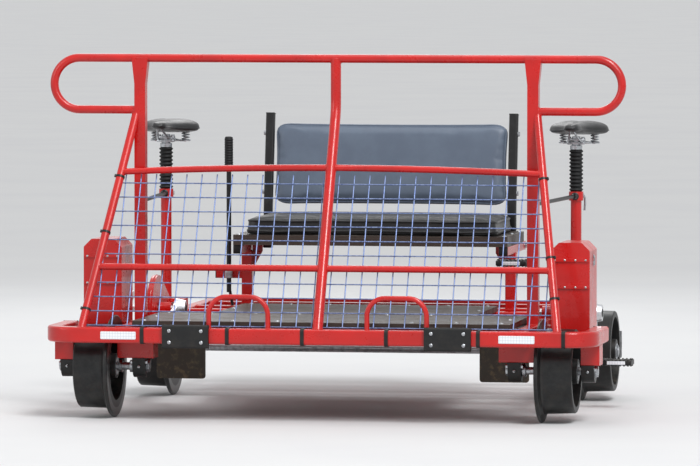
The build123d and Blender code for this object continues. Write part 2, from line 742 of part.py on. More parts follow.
for name, piece in pieces.items():
    piece.part.label = name
    export_step(piece.part, f"parts/{name}.step")
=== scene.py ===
"""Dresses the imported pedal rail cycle: finishes, soft seats, welded mesh, fastenings and a plain studio.

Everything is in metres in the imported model's own frame: +Z up, -Y forwards, +X to the vehicle's own left.
Sizes are written in millimetres, apart from the studio's. mm() turns them to metres, and at() also measures
them from the middle, from the bumper's front face and from the rail head.
"""
import logging
import math
from collections import defaultdict
from dataclasses import dataclass
from enum import Enum
from typing import Sequence

import bmesh
import bpy
import numpy
from mathutils import Matrix, Vector
from mathutils.bvhtree import BVHTree


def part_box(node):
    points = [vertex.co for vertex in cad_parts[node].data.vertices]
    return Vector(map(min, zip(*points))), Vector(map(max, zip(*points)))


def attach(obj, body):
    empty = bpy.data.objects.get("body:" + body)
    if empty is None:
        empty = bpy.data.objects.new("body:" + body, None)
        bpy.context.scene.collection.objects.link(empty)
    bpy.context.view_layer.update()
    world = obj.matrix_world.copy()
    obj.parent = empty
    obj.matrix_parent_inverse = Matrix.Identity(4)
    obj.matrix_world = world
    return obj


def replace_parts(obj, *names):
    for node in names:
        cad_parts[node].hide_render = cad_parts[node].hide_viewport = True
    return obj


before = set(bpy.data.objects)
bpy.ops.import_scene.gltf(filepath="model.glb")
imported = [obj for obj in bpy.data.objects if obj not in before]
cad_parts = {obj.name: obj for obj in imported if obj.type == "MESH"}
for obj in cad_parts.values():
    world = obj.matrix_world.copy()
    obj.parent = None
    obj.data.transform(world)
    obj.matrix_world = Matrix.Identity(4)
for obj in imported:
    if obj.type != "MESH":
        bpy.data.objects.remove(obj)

BMesh = bmesh.types.BMesh
Mesh = bpy.types.Mesh
Piece = bpy.types.Object
Socket = bpy.types.NodeSocket
Flat = Sequence[tuple[float, float]]
Line = list[Vector]
Places = Sequence[tuple[Vector, Vector]]

logging.basicConfig(level=logging.INFO, format="%(message)s")
log = logging.getLogger("rail_cycle")

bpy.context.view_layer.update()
SIDES = (1, -1)
X, Y, Z = (Vector(row) for row in Matrix.Identity(3))


def mm(*values: float) -> float | Vector:
    """Millimetres as metres: one value gives a number, three give a point."""
    return values[0] / 1000 if len(values) == 1 else Vector(values) / 1000


FLANGE_DEPTH = mm(28)
RAIL_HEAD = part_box("front_wheel_left")[0].z + FLANGE_DEPTH
BUMPER_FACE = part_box("front_bumper")[0].y


def at(across: float, depth: float, height: float) -> Vector:
    """A point from millimetres across, behind the bumper's face and above the rail head."""
    return Vector((mm(across), BUMPER_FACE + mm(depth), RAIL_HEAD + mm(height)))


def both(*rows: Sequence[float], way: Vector = Z) -> Places:
    """Places on both sides: the left one's millimetres, each with a direction that is mirrored too."""
    return [(at(side * x, depth, height), Vector((side * way.x, way.y, way.z)))
            for side in SIDES for x, depth, height in rows]


def linear(colour: str) -> tuple[float, float, float, float]:
    """Turns an sRGB hex colour, six digits after a hash, to linear RGBA with full alpha."""
    parts = [int(colour[i:i + 2], 16) / 255 for i in (1, 3, 5)]
    return (*((p / 12.92 if p <= 0.04045 else ((p + 0.055) / 1.055) ** 2.4) for p in parts), 1.0)


def add_node(tree: bpy.types.NodeTree, kind: str, sockets: dict | None = None,
             **settings: object) -> bpy.types.Node:
    """Adds one node with its settings and links.

    Args:
        tree: the shader or geometry tree.
        kind: the node's type name.
        sockets: values, hex colours or source sockets for its inputs, by name or number; none is left out.
        settings: values of the node's own properties.

    Returns:
        The new node.
    """
    made = tree.nodes.new(kind)
    for key, value in settings.items():
        setattr(made, key, value)
    for key, value in (sockets or {}).items():
        if isinstance(value, Socket):
            tree.links.new(value, made.inputs[key])
        elif value is not None:
            hex_colour = isinstance(value, str) and value.startswith("#")
            made.inputs[key].default_value = linear(value) if hex_colour else value
    return made


class Slot(Enum):
    """The record's material slots."""

    ENAMEL = "red_enamel"
    WIRE = "galvanised_wire"
    RUBBER = "black_rubber"
    FLAP = "grey_rubber"
    WHEEL = "wheel_nylon"
    PLASTIC = "black_plastic"
    STEEL = "bare_steel"
    ALUMINIUM = "cast_aluminium"
    BACK = "grey_vinyl"
    SEAT = "black_vinyl"
    BOARD = "dark_board"
    TAPE = "reflective_tape"


class Sheet:
    """A material under construction: its tree, its shader, the object's coordinates and its normal."""

    def __init__(self, name: str) -> None:
        """Makes an empty node material with a Principled shader.

        Args:
            name: the material's name.
        """
        self.material = bpy.data.materials.new(name)
        self.material.use_nodes = True
        self.tree = self.material.node_tree
        self.tree.nodes.clear()
        self.shader = add_node(self.tree, "ShaderNodeBsdfPrincipled")
        add_node(self.tree, "ShaderNodeOutputMaterial", {"Surface": self.shader.outputs[0]})
        self.place = self.add("TexCoord", out="Object")
        self.normal = self.add("NewGeometry", out="Normal")

    def add(self, kind: str, sockets: dict | None = None, out: int | str = 0, **settings: object) -> Socket:
        """Adds one shader node and gives one of its outputs."""
        return add_node(self.tree, "ShaderNode" + kind, sockets, **settings).outputs[out]

    def patches(self, size: float, low: float, high: float, detail: float = 3, rough: float = 0.55,
                bottom: float = 0, top: float = 1) -> Socket:
        """Soft patches: noise cut between two levels.

        Args:
            size: of the noise in millimetres.
            low: the level where a patch begins.
            high: the level where it is full.
            detail: octaves of the noise.
            rough: how strong the finer octaves are.
            bottom: the value outside the patches.
            top: the value inside.

        Returns:
            The value.
        """
        noise = self.add("TexNoise", {"Vector": self.place, "Scale": 1 / mm(size), "Detail": detail,
                                      "Roughness": rough})
        return self.add("MapRange", {0: noise, 1: low, 2: high, 3: bottom, 4: top},
                        interpolation_type="SMOOTHSTEP")

    def grain(self, size: float, depth: float, strength: float, detail: float = 3,
              under: Socket | None = None) -> Socket:
        """A relief of noise.

        Args:
            size: of the noise in millimetres.
            depth: of the relief in millimetres.
            strength: the share of it that is seen.
            detail: octaves of the noise.
            under: an earlier relief that it lies on.

        Returns:
            The bumped normal.
        """
        noise = self.add("TexNoise", {"Vector": self.place, "Scale": 1 / mm(size), "Detail": detail,
                                      "Roughness": 0.55})
        return self.add("Bump", {"Height": noise, "Distance": mm(depth), "Strength": strength,
                                 "Normal": under})

    def cells(self, size: float, low: float, high: float, randomness: float = 1) -> Socket:
        """Cells with soft borders.

        Args:
            size: of a cell in millimetres.
            low: how wide a border is, as a share of the cell.
            high: how far in the cell is whole.
            randomness: nought for an even grid.

        Returns:
            Nought on the borders and one inside.
        """
        border = self.add("TexVoronoi", {"Vector": self.place, "Scale": 1 / mm(size),
                                         "Randomness": randomness}, feature="DISTANCE_TO_EDGE")
        return self.add("MapRange", {0: border, 1: low, 2: high}, interpolation_type="SMOOTHSTEP")

    def waves(self, part: Socket, pitch: float) -> Socket:
        """Sine waves of a real pitch in millimetres along one coordinate."""
        phase = self.add("Math", {0: part, 1: 2 * math.pi / mm(pitch)}, operation="MULTIPLY")
        return self.add("Math", {0: phase}, operation="SINE")

    def tones(self, share: Socket, colours: Sequence[str], rough: tuple[float, float],
              full: float = 1) -> tuple[Socket, Socket]:
        """A colour and a roughness that change together.

        Args:
            share: how far they have gone from the first to the second.
            colours: both colours.
            rough: both roughnesses.
            full: the share at which the roughness has gone all the way.

        Returns:
            The colour and the roughness.
        """
        colour = self.add("Mix", {0: share, 6: colours[0], 7: colours[1]}, 2, data_type="RGBA")
        return colour, self.add("MapRange", {0: share, 2: full, 3: rough[0], 4: rough[1]},
                                interpolation_type="SMOOTHSTEP")

    def dust(self, colour: Socket, tint: str, amount: float, top: float = 0.45) -> Socket:
        """Lays pale road dust on a colour, thicker towards the ground and on faces that look up.

        Args:
            colour: the clean colour.
            tint: the dust's colour.
            amount: its share where it lies thickest.
            top: the height in metres above which there is none.

        Returns:
            The dusty colour.
        """
        height, upright = (self.add("SeparateXYZ", {0: vector}, 2) for vector in (self.place, self.normal))
        share = self.add("MapRange", {0: height, 1: top, 2: 0.0}, interpolation_type="SMOOTHSTEP")
        upward = self.add("MapRange", {0: upright, 1: 0.3, 3: 0.35}, interpolation_type="SMOOTHSTEP")
        for factor in (upward, self.patches(34, 0.38, 0.72, 6, 0.65), amount):
            share = self.add("Math", {0: share, 1: factor}, operation="MULTIPLY")
        return self.add("Mix", {0: share, 6: colour, 7: tint}, 2, data_type="RGBA")

    def shade(self, colour: Socket, rough: Socket | float, relief: Socket | None = None,
              **same: float) -> None:
        """Joins the patterns to the shader and sets what is the same all over.

        Args:
            colour: the base colour.
            rough: the roughness.
            relief: the bumped normal, if there is one.
            same: the shader's other sockets, with underscores for spaces.
        """
        for name, value in {"Base_Color": colour, "Roughness": rough, "Normal": relief, **same}.items():
            socket = self.shader.inputs[name.replace("_", " ")]
            if isinstance(value, Socket):
                self.tree.links.new(value, socket)
            elif value is not None:
                socket.default_value = value


@dataclass(frozen=True)
class Finish:
    """A finish, named for the real material and how its surface was made."""

    name: str
    colour: str
    second: str
    dust_tint = "#6E6457"

    def build(self) -> bpy.types.Material:
        """Makes the node material.

        Returns:
            The material, ready for use.
        """
        sheet = Sheet(self.name)
        self.paint(sheet)
        return sheet.material

    def paint(self, sheet: Sheet) -> None:
        """A plain, matt, slightly uneven coat of paint, as on the studio's floor."""
        sheet.shade(sheet.tones(sheet.patches(900, 0.3, 0.8), (self.colour, self.second), (1, 1))[0], 0.9)


@dataclass(frozen=True)
class Enamel(Finish):
    """Mild steel under sprayed enamel: an even, deep gloss with a faint orange peel and a few chips."""

    primer: str = "#55150F"
    dust_tint = "#8C7460"
    peel: float = 9
    edge: float = 1.6

    def paint(self, sheet: Sheet) -> None:
        """Chips lie on edges and as spots; the peel is drawn at 9 mm, coarser than life, so that it shows.

        Args:
            sheet: the material under construction.
        """
        rounded_edge = sheet.add("Bevel", {"Radius": mm(self.edge)}, samples=4)
        facing = sheet.add("VectorMath", {0: rounded_edge, 1: sheet.normal}, "Value", operation="DOT_PRODUCT")
        edge = sheet.add("MapRange", {0: facing, 1: 0.97, 2: 0.8}, interpolation_type="SMOOTHSTEP")
        chips = sheet.add("Math", {0: edge, 1: sheet.patches(7, 0.6, 0.66, 4, 0.7)}, operation="MULTIPLY")
        spots = sheet.patches(5, 0.78, 0.81, 2, 0.6, top=0.8)
        worn = sheet.add("Math", {0: chips, 1: spots}, operation="MAXIMUM")
        sound = sheet.add("Mix", {0: sheet.patches(170, 0.35, 0.7), 6: self.colour, 7: self.second}, 2,
                          data_type="RGBA")
        colour = sheet.add("Mix", {0: worn, 6: sound, 7: self.primer}, 2, data_type="RGBA")
        haze = sheet.patches(60, 0.35, 0.75, 5, 0.65, 0.26, 0.38)
        rough = sheet.add("Math", {0: worn, 1: 0.35, 2: haze}, operation="MULTIPLY_ADD")
        peel = sheet.grain(self.peel, 0.12, 0.35, 2, rounded_edge)
        relief = sheet.add("Bump", {"Height": worn, "Distance": mm(0.12), "Strength": 0.5, "Normal": peel},
                           invert=True)
        sheet.shade(sheet.dust(colour, self.dust_tint, 0.13), rough, relief,
                    IOR=1.48, Coat_Weight=0.3, Coat_Roughness=0.07, Coat_IOR=1.5)


@dataclass(frozen=True)
class Galvanised(Finish):
    """Hot-dip galvanised wire: dull blue-grey zinc with pale spangles."""

    crystal: float = 6

    def paint(self, sheet: Sheet) -> None:
        """Each zinc crystal has its own share of both tones.

        Args:
            sheet: the material under construction.
        """
        crystals = sheet.add("TexVoronoi", {"Vector": sheet.place, "Scale": 1 / mm(self.crystal)}, "Color")
        tones = sheet.tones(sheet.add("SeparateXYZ", {0: crystals}), (self.colour, self.second), (0.38, 0.58))
        sheet.shade(*tones, sheet.grain(3, 0.15, 0.4), Metallic=0.7)


@dataclass(frozen=True)
class TurnedNylon(Finish):
    """Cast nylon turned on a lathe: black, satin, with fine rings and a polished, dusty running band."""

    centre: Vector = Vector()
    ring: float = 4

    def paint(self, sheet: Sheet) -> None:
        """Rings run about the wheel's own axle, drawn at 4 mm, coarser than life, so that they show.

        Args:
            sheet: the material under construction.
        """
        flat = sheet.add("Mapping", {"Vector": sheet.place, "Location": -self.centre * (Y + Z),
                                     "Scale": Y + Z})
        radius = sheet.add("VectorMath", {0: flat}, "Value", operation="LENGTH")
        tread = sheet.add("MapRange", {0: radius, 1: mm(132), 2: mm(136)}, interpolation_type="SMOOTHSTEP")
        scuffed = sheet.add("Math", {0: tread, 1: sheet.patches(26, 0.3, 0.7, 5, 0.7)}, operation="MULTIPLY")
        colour = sheet.add("Mix", {0: scuffed, 6: self.colour, 7: self.second}, 2, data_type="RGBA")
        rough = sheet.add("MapRange", {0: tread, 3: 0.46, 4: 0.3}, interpolation_type="SMOOTHSTEP")
        off_tread = sheet.add("Math", {0: 1.0, 1: tread}, operation="SUBTRACT")
        rings = sheet.add("Math", {0: sheet.waves(radius, self.ring), 1: off_tread}, operation="MULTIPLY")
        turned_rings = sheet.add("Bump", {"Height": rings, "Distance": mm(0.1), "Strength": 0.35})
        sheet.shade(sheet.dust(colour, self.dust_tint, 0.28, 0.42), rough,
                    sheet.grain(5, 0.15, 0.3, 4, turned_rings), IOR=1.53, Specular_IOR_Level=0.35)


@dataclass(frozen=True)
class Moulded(Finish):
    """Moulded black plastic or rubber: matt, finely grained, with scuffs, and dust in the grain."""

    rough: float = 0.5
    grain: float = 3
    dusting: float = 0.35

    def paint(self, sheet: Sheet) -> None:
        """Scuffs are duller and paler than the moulded skin.

        Args:
            sheet: the material under construction.
        """
        scuffs = sheet.patches(40, 0.5, 0.78, 6, 0.7, top=0.7)
        colour, rough = sheet.tones(scuffs, (self.colour, self.second), (self.rough, self.rough + 0.18), 0.7)
        sheet.shade(sheet.dust(colour, self.dust_tint, self.dusting), rough,
                    sheet.grain(self.grain, 0.2, 0.5, 2), IOR=1.5, Specular_IOR_Level=0.4)


@dataclass(frozen=True)
class ClothRubber(Finish):
    """Sheet rubber with a cloth core: grey-brown, its weave printed through and splashed with mud."""

    thread: float = 6

    def paint(self, sheet: Sheet) -> None:
        """Mud lies low; the weave is drawn at 6 mm, coarser than life, so that it shows.

        Args:
            sheet: the material under construction.
        """
        across, _, height = add_node(sheet.tree, "ShaderNodeSeparateXYZ", {0: sheet.place}).outputs
        low = sheet.add("MapRange", {0: height, 1: 0.3, 2: 0.1}, interpolation_type="SMOOTHSTEP")
        splash = sheet.add("Math", {0: sheet.patches(28, 0.5, 0.66, 6, 0.7), 1: low}, operation="MULTIPLY")
        weave = sheet.add("Math", {0: sheet.waves(across, self.thread), 1: sheet.waves(height, self.thread)},
                          operation="MULTIPLY")
        sheet.shade(sheet.add("Mix", {0: splash, 6: self.colour, 7: self.second}, 2, data_type="RGBA"), 0.82,
                    sheet.add("Bump", {"Height": weave, "Distance": mm(0.25), "Strength": 0.5}))


@dataclass(frozen=True)
class BareMetal(Finish):
    """Zinc-plated or cast metal, or steel darkened as painted shade: bright or dark, with a dull film in its
    hollows.
    """

    rough: float = 0.3
    grain: float = 4

    def paint(self, sheet: Sheet) -> None:
        """The film is patchy and rougher than the metal.

        Args:
            sheet: the material under construction.
        """
        tones = sheet.tones(sheet.patches(18, 0.4, 0.7, 5, 0.65), (self.colour, self.second),
                            (self.rough, self.rough + 0.2))
        sheet.shade(*tones, sheet.grain(self.grain, 0.12, 0.35), Metallic=1.0)


@dataclass(frozen=True)
class Vinyl(Finish):
    """Coated upholstery cloth: soft satin, with a leather grain pressed in and paler scuffs."""

    grain: float = 4

    def paint(self, sheet: Sheet) -> None:
        """Soft folds carry the grain, which is drawn at 4 mm, coarser than life, so that it shows.

        Args:
            sheet: the material under construction.
        """
        tones = sheet.tones(sheet.patches(90, 0.35, 0.75, 5, 0.65), (self.colour, self.second), (0.4, 0.54))
        creases = {"Height": sheet.cells(self.grain, 0.0, 0.12), "Distance": mm(0.12), "Strength": 0.3,
                   "Normal": sheet.grain(45, 1.2, 0.25)}
        sheet.shade(*tones, sheet.add("Bump", creases), IOR=1.5, Sheen_Weight=0.12, Sheen_Roughness=0.45)


@dataclass(frozen=True)
class FilmFacedBoard(Finish):
    """Birch ply with a dark phenolic film: brown-black, its wire-mesh print scuffed pale by feet."""

    plies: tuple[str, str] = ("#3E3028", "#2B211B")
    print_pitch: float = 14
    veneer: float = 2.8

    def paint(self, sheet: Sheet) -> None:
        """Faces that look up or down have the film, and cut edges show the layers.

        Args:
            sheet: the material under construction.
        """
        across, along, height = add_node(sheet.tree, "ShaderNodeSeparateXYZ", {0: sheet.place}).outputs
        lines = [sheet.add("Math", {0: sheet.waves(part, 2 * self.print_pitch)}, operation="ABSOLUTE")
                 for part in (across, along)]
        nearest = sheet.add("Math", dict(enumerate(lines)), operation="MINIMUM")
        wire = sheet.add("MapRange", {0: nearest, 2: 0.3}, interpolation_type="SMOOTHSTEP")
        trodden = sheet.patches(110, 0.42, 0.68, 6, 0.7, top=0.75)
        face, rough = sheet.tones(trodden, (self.colour, self.second), (0.42, 0.65), 0.75)
        layers = sheet.add("MapRange", {0: sheet.waves(height, 2 * self.veneer), 1: -0.2, 2: 0.2},
                           interpolation_type="SMOOTHSTEP")
        edge = sheet.add("Mix", {0: layers, 6: self.plies[0], 7: self.plies[1]}, 2, data_type="RGBA")
        upright = sheet.add("Math", {0: sheet.add("SeparateXYZ", {0: sheet.normal}, 2)}, operation="ABSOLUTE")
        level = sheet.add("MapRange", {0: upright, 1: 0.4, 2: 0.7}, interpolation_type="SMOOTHSTEP")
        sheet.shade(sheet.add("Mix", {0: level, 6: edge, 7: face}, 2, data_type="RGBA"), rough,
                    sheet.add("Bump", {"Height": wire, "Distance": mm(0.5), "Strength": 0.6}))


@dataclass(frozen=True)
class PrismTape(Finish):
    """Micro-prismatic sheet: white or red film over small honeycomb cells that throw light back."""

    cell: float = 9

    def paint(self, sheet: Sheet) -> None:
        """Cells are drawn at 9 mm, coarser than life, so that they show.

        Args:
            sheet: the material under construction.
        """
        inside = sheet.cells(self.cell, 0.02, 0.08, 0.0)
        sheet.shade(*sheet.tones(inside, (self.second, self.colour), (0.35, 0.16)),
                    Coat_Weight=0.8, Coat_Roughness=0.05)


FLOOR_PAINT = Finish("studio_floor_paint", "#DADBDC", "#D6D7D9")
RED_TAPE = PrismTape("red_prismatic_sheet", "#E02A1C", "#8E120C")  # bright red cells, deep red between them
SHADE_DARKENED_STEEL = BareMetal("steel_darkened_as_painted_shade", "#43464B", "#2E3034", 0.4)  # painted shade: dark and dull, standing for the shadow line under the bumper
FINISHES = {
    Slot.ENAMEL: Enamel("sprayed_red_enamel_on_steel", "#C30D08", "#B00B07"),  # deep, clean signal red
    Slot.WIRE: Galvanised("hot_dip_galvanised_wire", "#5A6C9A", "#8494B8"),  # blue-grey, paler by spangles
    Slot.RUBBER: Moulded("moulded_black_rubber", "#0E0F11", "#232425", 0.62, 4, 0.5),  # dull and dusty
    Slot.FLAP: ClothRubber("cloth_cored_sheet_rubber", "#5D5850", "#8A7A64"),  # grey-brown, splashed paler
    Slot.PLASTIC: Moulded("moulded_black_nylon", "#0E0F11", "#232425", 0.42),  # a soft satin black
    Slot.STEEL: BareMetal("zinc_plated_steel", "#B9BCC0", "#8F9296"),  # bright, with a dull film
    Slot.ALUMINIUM: BareMetal("cast_aluminium", "#DADCDF", "#C6C9CD", 0.27, 6),  # pale, with a coarse skin
    Slot.BACK: Vinyl("grey_coated_upholstery_cloth", "#566273", "#5D6A7B"),  # slate grey, softly creased
    Slot.SEAT: Vinyl("black_coated_upholstery_cloth", "#0F1012", "#1B1C1F"),  # near black, a faint sheen
    Slot.BOARD: FilmFacedBoard("phenolic_film_faced_birch_ply", "#2A2320", "#6B625A"),  # brown, trodden pale
    Slot.TAPE: PrismTape("white_prismatic_sheet", "#EDF0F4", "#B8C0CC"),  # white cells, grey between them
}


def placed(thing: bpy.types.ID, name: str, place: Vector = Vector(), look: Vector | None = None) -> Piece:
    """Puts a mesh, lamp or camera into the scene.

    Args:
        thing: the mesh, lamp or camera.
        name: the object's name.
        place: its place in metres.
        look: the direction it looks along, or none to leave it unturned.

    Returns:
        The object.
    """
    made = bpy.data.objects.new(name, thing)
    bpy.context.scene.collection.objects.link(made)
    made.location = place
    if look is not None:
        made.rotation_mode = "QUATERNION"
        made.rotation_quaternion = look.to_track_quat("-Z", "Y")
    return made


def meshed(mesh: BMesh, name: str) -> Mesh:
    """Turns a bmesh into a mesh.

    Args:
        mesh: the bmesh, which is freed.
        name: the mesh's name.

    Returns:
        The mesh.
    """
    data = bpy.data.meshes.new(name)
    mesh.to_mesh(data)
    mesh.free()
    return data


def around(steps: int) -> Flat:
    """The cosine and sine of even steps round a circle."""
    return [(math.cos(2 * math.pi * k / steps), math.sin(2 * math.pi * k / steps)) for k in range(steps)]


def facing(direction: Vector) -> Matrix:
    """A turn that carries +Z to a direction."""
    return Z.rotation_difference(direction).to_matrix().to_4x4()


def loft(mesh: BMesh, rings: Sequence[list], caps: bool = True) -> None:
    """Skins rings of points and turns the faces outwards.

    Args:
        mesh: takes the faces.
        rings: each as long as the next, or a single point.
        caps: whether the first and the last ring are closed with a face.
    """
    made = [mesh.faces.new(ring) for ring in (rings[0], rings[-1]) if caps and len(ring) > 1]
    for lower, upper in zip(rings, rings[1:]):
        steps = max(len(lower), len(upper))
        for i in range(steps):
            j = (i + 1) % steps
            corners = (lower[i % len(lower)], lower[j % len(lower)],
                       upper[j % len(upper)], upper[i % len(upper)])
            made.append(mesh.faces.new(list(dict.fromkeys(corners))))
    bmesh.ops.recalc_face_normals(mesh, faces=made)


def turned(mesh: BMesh, profile: Flat, foot: Vector, axis: Vector, steps: int = 32,
           ring: bool = False) -> None:
    """Adds a turned form.

    Args:
        mesh: takes the form.
        profile: radius and distance along the axis in millimetres, end to end, or all round for a ring.
        foot: the point where the distance is nought.
        axis: the direction of the axis.
        steps: faces round the form.
        ring: whether the profile closes on itself, clear of the axis.
    """
    turn = Matrix.Translation(foot) @ facing(axis)
    rings = [[mesh.verts.new(turn @ mm(radius * c, radius * s, along))
              for c, s in around(steps if radius else 1)] for radius, along in profile]
    loft(mesh, rings + rings[:1] if ring else rings, not ring)


def tube(mesh: BMesh, path: Line, radius: float, steps: int = 12, closed: bool = False) -> None:
    """Adds a round bar along a path.

    Args:
        mesh: takes the bar.
        path: its centre line.
        radius: of the bar in millimetres.
        steps: faces round it.
        closed: whether the path joins its own start; otherwise the bar has flat ends.
    """
    ends = [path[-1], *path, path[0]] if closed else [path[0], *path, path[-1]]
    side = (ends[2] - ends[0]).normalized().orthogonal()
    rings = []
    for before, point, after in zip(ends, path, ends[2:]):
        tangent = (after - before).normalized()
        side = (side - tangent * side.dot(tangent)).normalized()
        other = tangent.cross(side)
        rings.append([mesh.verts.new(point + mm(radius) * (side * c + other * s)) for c, s in around(steps)])
    if closed:
        shift = min(range(steps), key=lambda k: (rings[0][k].co - rings[-1][0].co).length)
        rings.append(rings[0][shift:] + rings[0][:shift])
    loft(mesh, rings, not closed)


def block(mesh: BMesh, corner: Vector, far: Vector, edge: float, turn: Matrix = Matrix()) -> None:
    """Adds a box with rounded edges.

    Args:
        mesh: takes the box.
        corner: any corner.
        far: the opposite corner.
        edge: the radius of its edges in millimetres.
        turn: carries it to its place.
    """
    made = bmesh.ops.create_cube(mesh, size=1.0)["verts"]
    for vertex in made:
        vertex.co = (corner + far) / 2 + vertex.co * Vector(abs(part) for part in far - corner)
    edges = list(dict.fromkeys(e for v in made for e in v.link_edges))
    done = bmesh.ops.bevel(mesh, geom=edges, offset=mm(edge), segments=2, affect="EDGES", profile=0.5)
    bmesh.ops.transform(mesh, matrix=turn, verts=list({v for f in done["faces"] for v in f.verts}))


def blocks(mesh: BMesh, rows: Sequence[tuple]) -> BMesh:
    """Adds rounded blocks, each on both sides of the vehicle.

    Args:
        mesh: takes the blocks.
        rows: ranges in millimetres across, in depth and in height, and the edges' radius.

    Returns:
        The same mesh.
    """
    for side in SIDES:
        for across, depth, height, edge in rows:
            near, far = zip(across, depth, height)
            block(mesh, at(side * near[0], *near[1:]), at(side * far[0], *far[1:]), edge)
    return mesh


def rounded(half_x: float, half_y: float, radius: float, steps: int = 8) -> Flat:
    """Outlines a rounded rectangle about the origin, in any unit.

    Args:
        half_x: half its width.
        half_y: half its height.
        radius: of its corners.
        steps: edges round one corner.

    Returns:
        Its points, anticlockwise.
    """
    points = []
    for quarter, (sx, sy) in enumerate(((1, 1), (-1, 1), (-1, -1), (1, -1))):
        for i in range(steps + 1):
            angle = math.pi / 2 * (quarter + i / steps)
            points.append((sx * (half_x - radius) + radius * math.cos(angle),
                           sy * (half_y - radius) + radius * math.sin(angle)))
    return points


def spread(points: Flat, step: float) -> Flat:
    """Points spread evenly along a closed outline, about a step apart.

    Args:
        points: the outline's corners.
        step: the wanted distance, in the outline's own unit.

    Returns:
        The even points, from the first corner on.
    """
    ring = [Vector(p) for p in points]
    lengths = [(after - point).length for point, after in zip(ring, ring[1:] + ring[:1])]
    total = sum(lengths)
    count = max(8, round(total / step))
    made, i, walked = [], 0, 0.0
    for k in range(count):
        while walked + lengths[i] < total * k / count:
            walked += lengths[i]
            i += 1
        share = (total * k / count - walked) / lengths[i] if lengths[i] else 0
        made.append(tuple(ring[i].lerp(ring[(i + 1) % len(ring)], share)))
    return made


def smooth(knots: Flat, place: float) -> float:
    """Follows a smooth line through knots.

    Args:
        knots: places and heights, in order.
        place: where the height is wanted.

    Returns:
        The height.
    """
    last = len(knots) - 1
    i = min(max(sum(place >= knot[0] for knot in knots) - 1, 0), last - 1)
    (x0, y0), (x1, y1) = knots[i], knots[i + 1]
    slopes = [(b[1] - a[1]) / (b[0] - a[0])
              for a, b in ((knots[max(k - 1, 0)], knots[min(k + 1, last)]) for k in (i, i + 1))]
    t = min(max((place - x0) / (x1 - x0), 0.0), 1.0)
    return (y0 + (y1 - y0) * (3 - 2 * t) * t * t
            + (x1 - x0) * (slopes[0] * (t - 2) * t * t + slopes[0] * t + slopes[1] * (t - 1) * t * t))


def through(knots: Line, steps: int = 10) -> Line:
    """Points on a smooth path through knots."""
    axes = [list(enumerate(axis)) for axis in zip(*knots)]
    return [Vector(smooth(axis, k / steps) for axis in axes) for k in range((len(knots) - 1) * steps + 1)]


def skeleton(name: str, points: Line, edges: Sequence = (), way: Sequence = (), long: Sequence = ()) -> Mesh:
    """Makes a mesh of points and edges for a recipe to work on.

    Args:
        name: the mesh's name.
        points: its points.
        edges: pairs of points, by number.
        way: each point's direction, for a recipe that turns its forms.
        long: each point's length in metres, for a recipe that stretches them.

    Returns:
        The mesh.
    """
    made = bpy.data.meshes.new(name)
    made.from_pydata(points, edges, [])
    for label, kind, key, values in (("way", "FLOAT_VECTOR", "vector", [part for one in way for part in one]),
                                     ("long", "FLOAT", "value", long)):
        if values:
            made.attributes.new(label, kind, "POINT").data.foreach_set(key, values)
    return made


class Recipe:
    """A Geometry Nodes tree with named inputs, run once on an object and baked to a plain mesh."""

    def __init__(self, name: str) -> None:
        """Starts a tree with a geometry in and out.

        Args:
            name: the tree's name.
        """
        self.tree = bpy.data.node_groups.new(name, "GeometryNodeTree")
        for way in ("INPUT", "OUTPUT"):
            self.tree.interface.new_socket("Geometry", in_out=way, socket_type="NodeSocketGeometry")
        self.source = add_node(self.tree, "NodeGroupInput")
        self.identifiers: dict[str, str] = {}

    def number(self, name: str, value: float) -> Socket:
        """Adds a named input for a size.

        Args:
            name: the input's name.
            value: its value at first.

        Returns:
            Its socket inside the tree.
        """
        socket = self.tree.interface.new_socket(name, in_out="INPUT", socket_type="NodeSocketFloat")
        socket.default_value = value
        self.identifiers[name] = socket.identifier
        return self.source.outputs[name]

    def add(self, kind: str, sockets: dict | None = None, out: int | str = 0, **settings: object) -> Socket:
        """Adds one node and gives one of its outputs."""
        return add_node(self.tree, kind, sockets, **settings).outputs[out]

    def end(self, geometry: Socket, material: bpy.types.Material) -> "Recipe":
        """Closes the tree: instances are made real and the finish is set.

        Args:
            geometry: the last step's geometry.
            material: the finish.

        Returns:
            The recipe itself.
        """
        real = self.add("GeometryNodeRealizeInstances", {0: geometry})
        painted = self.add("GeometryNodeSetMaterial", {"Geometry": real, "Material": material})
        add_node(self.tree, "NodeGroupOutput", {0: painted})
        return self

    def on_points(self, shape: Socket, material: bpy.types.Material, points: Socket | None = None,
                  way: Socket | None = None, scale: Socket | None = None) -> "Recipe":
        """Sets a shape on points along each point's own way, and closes the tree.

        Args:
            shape: the form that is repeated, along +Z.
            material: its finish.
            points: the points, or none for those of the start.
            way: each point's direction, or none for the start's attribute.
            scale: the form's scale, if it has one.

        Returns:
            The recipe itself.
        """
        way = way or self.add("GeometryNodeInputNamedAttribute", {"Name": "way"}, data_type="FLOAT_VECTOR")
        turn = self.add("FunctionNodeAlignRotationToVector", {"Vector": way}, axis="Z")
        return self.end(self.add("GeometryNodeInstanceOnPoints", {
            "Points": points or self.source.outputs[0], "Instance": shape, "Rotation": turn, "Scale": scale,
        }), material)

    def bake(self, start: Mesh, **sizes: float) -> Mesh:
        """Runs the tree on a start mesh.

        Args:
            start: the mesh that the tree works on.
            sizes: values for the named inputs in millimetres, with underscores for spaces.

        Returns:
            A plain mesh with nothing live on it.
        """
        carrier = placed(start, "recipe_carrier")
        modifier = carrier.modifiers.new("recipe", "NODES")
        modifier.node_group = self.tree
        for name, value in sizes.items():
            modifier[self.identifiers[name.replace("_", " ")]] = mm(value)
        bpy.context.view_layer.update()
        made = bpy.data.meshes.new_from_object(carrier.evaluated_get(bpy.context.evaluated_depsgraph_get()))
        bpy.data.objects.remove(carrier)
        return made


